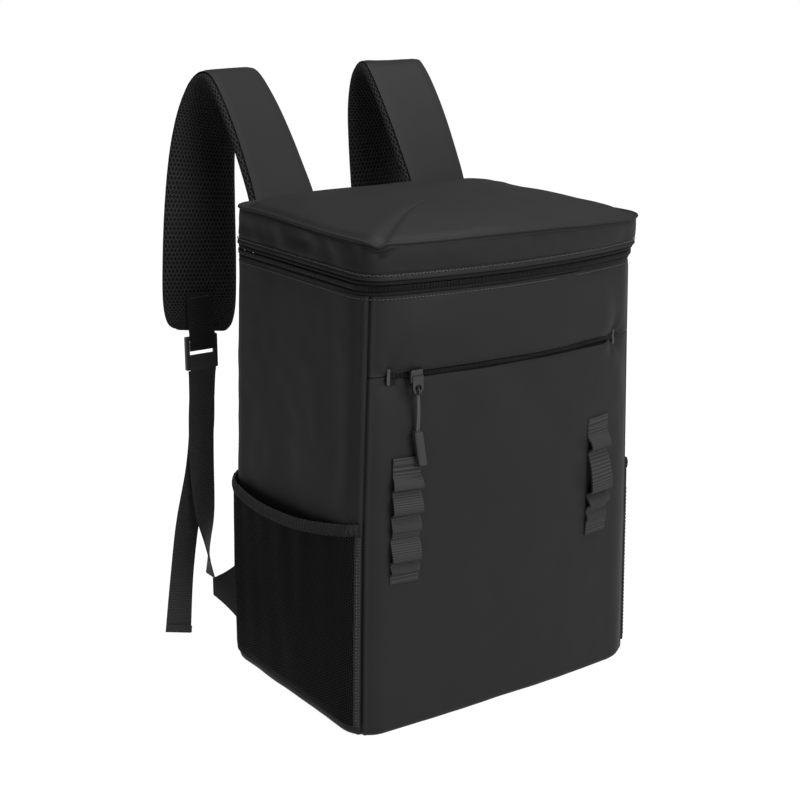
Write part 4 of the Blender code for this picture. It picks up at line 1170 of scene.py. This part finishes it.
def strap_point(side, spread, reach, z):
    spread_out = LEFT_STRAP_SPREAD if side < 0 else RIGHT_STRAP_SPREAD
    x = STRAP_ROOT + (spread_out - STRAP_ROOT) * spread
    return (side * x, BACK_Y + STRAP_REACH * reach, z)


class Ribbon:
    """A line of rows (x, y, z, width, turn) with a frame at each: along, wide and thick."""

    def __init__(self, rows, steps):
        self.rows = smooth_line(rows, steps)
        self.count = len(self.rows)
        self.points = [Vector(row[:3]) for row in self.rows]
        self.length = sum((b - a).length for a, b in zip(self.points, self.points[1:]))

    def at(self, v):
        """Point, wide and thick directions and width at a share of the line."""
        place = min(max(v, 0.0), 1.0) * (self.count - 1)
        i = min(int(place), self.count - 2)
        t = place - i
        point = self.points[i].lerp(self.points[i + 1], t)
        tangent = (self.points[min(i + 2, self.count - 1)] - self.points[max(i - 1, 0)]).normalized()
        turn = math.radians(self.rows[i][4] + (self.rows[i + 1][4] - self.rows[i][4]) * t)
        wide = Vector((math.cos(turn), math.sin(turn), 0))
        wide = (wide - tangent * wide.dot(tangent)).normalized()
        width = self.rows[i][3] + (self.rows[i + 1][3] - self.rows[i][3]) * t
        return point, wide, tangent.cross(wide), width


def pad_ribbon(side):
    rows = [
        (*strap_point(side, row.spread, row.reach, STRAP_TOP * row.height),
         PAD_WIDTH * row.width, -side * row.turn)
        for row in PAD_ROWS
    ]
    return Ribbon(rows, 6)


# %% Pads
def rounded_section(angle, half_width, half_thick, power=5.0):
    """A point of a squared oval."""
    c = math.cos(angle)
    s = math.sin(angle)
    x = math.copysign(abs(c) ** (2 / power), c) * half_width
    y = math.copysign(abs(s) ** (2 / 2.6), s) * half_thick
    return x, y


def even_section(half_width, half_thick, count):
    """Points of the section at even steps of its length, so that the mesh's holes keep one size."""
    fine = [rounded_section(math.tau * i / 720, half_width, half_thick) for i in range(721)]
    run = [0.0]
    for a, b in zip(fine, fine[1:]):
        run.append(run[-1] + math.hypot(b[0] - a[0], b[1] - a[1]))
    points = []
    k = 0
    for i in range(count + 1):
        wanted = run[-1] * i / count
        while k < 719 and run[k + 1] < wanted:
            k += 1
        share = (wanted - run[k]) / max(run[k + 1] - run[k], 1e-9)
        points.append(tuple(a + (b - a) * share for a, b in zip(fine[k], fine[k + 1])))
    points[-1] = points[0]
    return points


SECTION_STEPS = 72
UNIT_SECTION = even_section(PAD_WIDTH / 2, PAD_THICKNESS / 2, SECTION_STEPS)


def shoulder_pad(hand, side):
    ribbon = pad_ribbon(side)

    def foam(u, v):
        point, wide, thick, width = ribbon.at(v)
        tip = min(1.0, math.sqrt(max(0.0, min(v / 0.006, (1 - v) / 0.012))))
        x, y = UNIT_SECTION[round(u * SECTION_STEPS)]
        x *= width / PAD_WIDTH * (0.94 + 0.06 * tip)
        y *= tip
        quilt = 1 + 0.03 * ripple((x, v * 0.6, side), 0.02, 21)
        return point + wide * x + thick * y * quilt

    size = (2 * PAD_WIDTH + 1.7 * PAD_THICKNESS, ribbon.length)
    pad = sheet(f"pad_mesh_{hand}", SECTION_STEPS, 130, foam, closed=True, size=size)
    dress(pad, SPACER, "mesh_cloth", f"shoulder_pad_{hand}")
    sign = 1 if ribbon.at(0.3)[2].y < 0 else -1

    def face(u, v):
        v = 0.004 + 0.988 * v
        point, wide, thick, width = ribbon.at(v)
        across = 2 * u - 1
        x = across * (width / 2 - 0.0030)
        crown = PAD_THICKNESS / 2 + 0.0010 - 0.0008 * abs(across) ** 9
        tuck = -0.0004 * bump_at(abs(across), 0.92, 0.03)
        wrinkle = 0.0002 * ripple((x, v * 0.6, side), 0.03, 30)
        return point + wide * x + thick * sign * (crown + tuck + wrinkle)

    middle = ribbon.at(0.5)[0] + Vector((0, 0.08, 0))
    cover = sheet(f"pad_cover_{hand}", 36, 130, face, centre=middle)
    aim = sum(f.normal.dot(ribbon.at(0.3)[2] * sign) for f in cover.data.polygons if f.center.z > 0.44)
    if aim < 0:
        in_edit_mode(cover, bpy.ops.mesh.flip_normals)
    thicken(cover, 0.0008)
    dress(cover, COATED, "coated_cloth")


for hand, side in (("left", -1), ("right", 1)):
    shoulder_pad(hand, side)

# %% [markdown]
# ## Strap webbing, buckles and free ends
# Under each pad a short stub of webbing holds a ladder buckle. The long webbing runs from the buckle down
# to a cloth triangle in the back seam, and turns edge-on there. Its spare end hangs free and ends in a
# folded, sewn hem. All are ribbons along measured lines.

# %% Webbing
STUB_RISE = 0.010
STUB_DRIFT = 0.004
STRAP_WEBBING_WIDTH = 0.0250
BUCKLE_WIDTH = 0.0310
BUCKLE_HEIGHT = 0.0300
BUCKLE_THICKNESS = 0.0040
BUCKLE_BAR = 0.0032
BUCKLE_SLOT = 0.0055
TAIL_SPREAD = 0.1705
TAIL_END_HEIGHT = 0.008
ANCHOR_SPREAD = 0.1335
ANCHOR_HEIGHT = 0.066
ANCHOR_FOOT = 0.024
BUCKLE_TOP = STRAP_TOP * PAD_ROWS[-1].height - 0.002
ANCHOR_TIP = ANCHOR_FOOT + ANCHOR_HEIGHT * 0.42
WebRow = namedtuple("WebRow", "out reach height turn")
WEB_ROWS = (
    WebRow(out=0.00, reach=0.792, height=1.00, turn=0),
    WebRow(out=0.00, reach=0.792, height=0.95, turn=0),
    WebRow(out=0.30, reach=0.775, height=0.75, turn=0),
    WebRow(out=0.59, reach=0.725, height=0.55, turn=5),
    WebRow(out=0.81, reach=0.650, height=0.32, turn=20),
    WebRow(out=0.93, reach=0.590, height=0.17, turn=50),
    WebRow(out=1.00, reach=0.545, height=0.00, turn=80),
)
TAIL_ROWS = (
    WebRow(out=0.00, reach=0.812, height=1.00, turn=0),
    WebRow(out=0.00, reach=0.812, height=0.95, turn=0),
    WebRow(out=0.03, reach=0.812, height=0.77, turn=0),
    WebRow(out=0.16, reach=0.800, height=0.60, turn=5),
    WebRow(out=0.46, reach=0.740, height=0.40, turn=9),
    WebRow(out=0.74, reach=0.625, height=0.20, turn=11),
    WebRow(out=1.00, reach=0.485, height=0.00, turn=2),
)


def inner_face(side, row, rise=0.0):
    x, y, z = strap_point(side, row.spread, row.reach, STRAP_TOP * row.height + rise)
    return Vector((x + side * STUB_DRIFT, y - PAD_THICKNESS / 2 - WEBBING_THICKNESS / 2 - 3 * GAP, z))


def buckle_centre(side):
    middle = inner_face(side, PAD_ROWS[-1])
    middle.z = BUCKLE_TOP - BUCKLE_HEIGHT / 2
    return middle


def web_rows(side, rows, out_x, low):
    centre = buckle_centre(side)
    start = abs(centre.x)
    high = centre.z - BUCKLE_HEIGHT / 2 - 3 * GAP
    line = []
    for row in rows:
        x = side * (start + (out_x - start) * row.out)
        z = low + (high - low) * row.height
        line.append((x, BACK_Y + STRAP_REACH * row.reach, z, STRAP_WEBBING_WIDTH, -side * row.turn))
    return line


def webbing(name, ribbon, *nodes, thickness=WEBBING_THICKNESS):
    """A flat woven strip with soft edges along a ribbon."""
    def shape(u, v):
        point, wide, thick, width = ribbon.at(v)
        x, y = rounded_section(math.tau * u, width / 2, thickness / 2, power=9.0)
        return point + wide * x + thick * y

    piece = sheet(name, 28, max(12, int(ribbon.length / 0.004)), shape, closed=True,
                  size=(2 * STRAP_WEBBING_WIDTH, ribbon.length))
    in_edit_mode(piece, lambda: bpy.ops.mesh.select_all(action="DESELECT"),
                 lambda: bpy.ops.mesh.select_non_manifold(), lambda: bpy.ops.mesh.fill_holes(sides=0))
    return dress(piece, WEBBING, "webbing_cloth", *nodes)


def strap_parts(hand, side):
    centre = buckle_centre(side)
    front = BUCKLE_THICKNESS / 2 + WEBBING_THICKNESS / 2 + GAP
    stub = [(*inner_face(side, row, STUB_RISE), STRAP_WEBBING_WIDTH, 0.0) for row in PAD_ROWS[-3:-1]]
    for down in (0.001, 0.006, 0.0125):
        stub.append((centre.x, centre.y - front, BUCKLE_TOP - down, STRAP_WEBBING_WIDTH, 0.0))
    stub_piece = webbing(f"strap_stub_web_{hand}", Ribbon(stub, 4), f"strap_stub_{hand}")
    # The stub takes the darker webbing: painted shade under the pad.
    stub_piece.material_slots[0].material = SHADED_STUB_WEBBING
    over = [
        (centre.x, centre.y - front, BUCKLE_TOP - down, STRAP_WEBBING_WIDTH, 0.0)
        for down in (0.0158, 0.022, 0.030)
    ]
    tight = Ribbon(over + web_rows(side, WEB_ROWS, ANCHOR_SPREAD, ANCHOR_TIP)[1:], 6)
    webbing(f"strap_web_{hand}", tight, f"strap_webbing_{hand}")
    loose = Ribbon(web_rows(side, TAIL_ROWS, TAIL_SPREAD, TAIL_END_HEIGHT), 6)
    free_end = webbing(f"strap_free_end_{hand}", loose, f"strap_tail_{hand}")
    hem = [(*loose.at(0.96 + 0.04 * i / 4)[0], STRAP_WEBBING_WIDTH, loose.rows[-1][4]) for i in range(5)]
    shift = loose.at(0.95)[2] * WEBBING_THICKNESS * (1 if loose.at(0.95)[2].y < 0 else -1)
    hem = [(x + shift.x, y + shift.y, z + shift.z + 0.0005, w, t) for x, y, z, w, t in hem[1:]]
    folded = webbing(f"strap_hem_{hand}", Ribbon(hem, 3))
    print("free end", hand, round(loose.length, 3), "m, webbing", round(tight.length, 3), "m")


for hand, side in (("left", -1), ("right", 1)):
    strap_parts(hand, side)


# %% [markdown]
# The buckle is a flat frame with two slots and three bars. It starts as a box and is cut into strips with
# bisect. Bridging the faces in front of and behind a slot opens it and gives it its walls.


# %% Buckles
def buckle(hand, side):
    centre = buckle_centre(side)
    bpy.ops.object.select_all(action="DESELECT")
    bpy.ops.mesh.primitive_cube_add(size=1.0, location=(0, 0, 0))
    piece = bpy.context.object
    piece.name = f"ladder_buckle_{hand}"
    piece.data.name = piece.name
    for vert in piece.data.vertices:
        stretched = (vert.co.x * BUCKLE_WIDTH, vert.co.y * BUCKLE_THICKNESS, vert.co.z * BUCKLE_HEIGHT)
        vert.co = Vector(stretched) + centre
    top = BUCKLE_TOP - BUCKLE_BAR
    slots = [(top - BUCKLE_SLOT, top), (top - 2 * BUCKLE_SLOT - BUCKLE_BAR, top - BUCKLE_SLOT - BUCKLE_BAR)]
    half = STRAP_WEBBING_WIDTH / 2 - 0.0008
    cuts = [((0, 0, z), (0, 0, 1)) for pair in slots for z in pair]
    cuts += [((centre.x + x, 0, 0), (1, 0, 0)) for x in (-half, half)]
    select_only(piece)
    bpy.ops.object.mode_set(mode="EDIT")
    for place, normal in cuts:
        bpy.ops.mesh.select_all(action="SELECT")
        bpy.ops.mesh.bisect(plane_co=place, plane_no=normal)
    bpy.ops.mesh.select_all(action="DESELECT")
    bpy.ops.object.mode_set(mode="OBJECT")
    for face in piece.data.polygons:
        middle = face.center
        in_slot = any(low < middle.z < high for low, high in slots) and abs(middle.x - centre.x) < half
        face.select = in_slot and abs(face.normal.y) > 0.9
    bpy.ops.object.mode_set(mode="EDIT")
    bpy.ops.mesh.select_mode(type="FACE")
    bpy.ops.mesh.bridge_edge_loops(type="PAIRS")
    bpy.ops.object.mode_set(mode="OBJECT")
    bevel = piece.modifiers.new("soft edges", "BEVEL")
    bevel.width = 0.0009
    bevel.segments = 3
    bevel.limit_method = "ANGLE"
    bpy.ops.object.modifier_apply(modifier=bevel.name)
    return dress(piece, PLASTIC, "hard_plastic", f"buckle_{hand}")


for hand, side in (("left", -1), ("right", 1)):
    buckle(hand, side)


# %% Sewn box on each stub
def box_stitches(hand, side):
    """A box with a cross, sewn through stub and pad."""
    middle = inner_face(side, PAD_ROWS[-3], STUB_RISE) + Vector((0, -WEBBING_THICKNESS / 2 - 0.0003, -0.0115))
    half_w = 0.0090
    half_h = 0.0085
    signs = ((-1, -1), (1, -1), (1, 1), (-1, 1))
    corners = [Vector((x * half_w, 0, z * half_h)) for x, z in signs]
    lines = list(zip(corners, corners[1:] + corners[:1]))
    lines += [(corners[0], corners[2]), (corners[1], corners[3])]
    rows = []
    for a, b in lines:
        count = max(2, round((b - a).length / 0.0026))
        for i in range(count):
            rows.append((middle + a.lerp(b, (i + 0.5) / count), b - a, Vector((0, -1, 0))))
    stitch_row(f"stub_stitches_{hand}", rows)


# %% Anchors
def anchor(hand, side):
    """The folded cloth triangle that ties the webbing to the back seam."""
    low = skin(side, 1.0, ANCHOR_FOOT - 0.014, GAP)
    high = skin(side, 1.0, ANCHOR_FOOT + ANCHOR_HEIGHT, GAP)
    tip = Vector((side * ANCHOR_SPREAD, BACK_Y + STRAP_REACH * WEB_ROWS[-1].reach, ANCHOR_TIP))

    def shape(u, v):
        base = low.lerp(high, v)
        end = tip + Vector((0, -0.004, -0.0175)).lerp(Vector((0, -0.004, -0.0015)), v)
        point = base.lerp(end, u)
        curve = 0.006 * math.sin(math.pi * u) * (v - 0.5)
        bend = 0.0012 * math.sin(math.pi * u) * math.sin(math.pi * v)
        return point + Vector((side * bend, 0, -curve))

    piece = sheet(f"anchor_cloth_{hand}", 24, 20, shape, centre=(side * 0.05, 0.14, 0.05))
    thicken(piece, 0.0022)
    return dress(piece, COATED, "coated_cloth", f"strap_anchor_{hand}")


for hand, side in (("left", -1), ("right", 1)):
    box_stitches(hand, side)
    anchor(hand, side)

# %% [markdown]
# ## Slider, cord and grip
# The slider's plate hangs from its body with a round eye. The solids of slider and grip already have that
# shape, so they keep it and only get a finish. A small ring passes through the eye. From it the doubled
# cord hangs down into the grip, as two round curves side by side.

# %% Slider, cord and grip
SLIDER_X = -0.098
for node, material in (("front_zip_slider", METAL), ("main_zip_slider", METAL), ("front_zip_grip", PLASTIC)):
    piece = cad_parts[node]
    for entry in piece.material_slots:
        entry.material = material
cord_low, cord_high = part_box("front_zip_pull_cord")
grip_low, grip_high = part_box("front_zip_grip")
CORD_DIAMETER = 0.0016
EYE_HEIGHT = SLIT_HEIGHT - 0.0088
RING_RADIUS = 0.0026
RING_WIRE = 0.0007
cord_y = (cord_low.y + cord_high.y) / 2
bpy.ops.object.select_all(action="DESELECT")
bpy.ops.mesh.primitive_torus_add(
    location=(0, 0, 0), major_radius=RING_RADIUS, minor_radius=RING_WIRE, major_segments=24, minor_segments=10)
ring = bpy.context.object
ring.name = "pull_ring"
ring.data.name = "pull_ring"
in_edit_mode(ring, lambda: bpy.ops.transform.rotate(
    value=math.radians(90), orient_axis="Y", center_override=(0, 0, 0)))
for vert in ring.data.vertices:
    vert.co += Vector((SLIDER_X, cord_y, EYE_HEIGHT - RING_RADIUS))
dress(ring, METAL, "dark_metal", "front_zip_pull_cord")


def strand(name, shift):
    """One side of the doubled cord, a curve from the ring down into the grip."""
    curve = bpy.data.curves.new(name, "CURVE")
    curve.dimensions = "3D"
    curve.bevel_depth = CORD_DIAMETER / 2
    curve.bevel_resolution = 3
    curve.resolution_u = 8
    line = curve.splines.new("POLY")
    steps = 14
    line.points.add(steps)
    top = Vector((SLIDER_X + shift * 0.6, cord_y - 0.0004, EYE_HEIGHT - 0.0046))
    grip_middle = (grip_low + grip_high) / 2
    foot = Vector((grip_middle.x - 0.0022 + shift, grip_middle.y, grip_high.z - 0.0015))
    for i in range(steps + 1):
        share = i / steps
        spot = top.lerp(foot, share) + Vector((0.0007 * math.sin(math.pi * share), 0, 0))
        line.points[i].co = (*spot, 1)
    made = bpy.data.objects.new(name, curve)
    bpy.context.scene.collection.objects.link(made)
    made.data.materials.append(THREAD)
    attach(made, "root")
    return made, top, (foot - top).length


cord, cord_exit, cord_length = strand("pull_cord", -0.0008)
second, _, _ = strand("pull_cord_second", 0.0008)
print("cord", round(cord_length, 4), "m")
tuple(cord_exit)
max(cord_length, 0.0301)

# %% [markdown]
# ## Floor
# The photo's ground is pure white. A floor that only reflects would look grey far from the lights, so this
# one glows a little less than white and reflects hardly anything.

# %% Floor
bpy.ops.object.select_all(action="DESELECT")
FLOOR_SIZE = 12.0
FLOOR_DROP = 0.0004
FLOOR_GLOW = 0.985
bpy.ops.mesh.primitive_plane_add(size=FLOOR_SIZE, location=(0, 0, -FLOOR_DROP))
ground = bpy.context.object
ground.name = "floor"
pale = bpy.data.materials.new("pale_floor")
pale.use_nodes = True
pale_shader = pale.node_tree.nodes["Principled BSDF"]
pale_shader.inputs["Base Color"].default_value = (0.10, 0.10, 0.10, 1)
pale_shader.inputs["Emission Color"].default_value = (1, 1, 1, 1)
pale_shader.inputs["Emission Strength"].default_value = FLOOR_GLOW
pale_shader.inputs["Roughness"].default_value = 0.9
pale_shader.inputs["Specular IOR Level"].default_value = 0.1
ground.data.materials.append(pale)
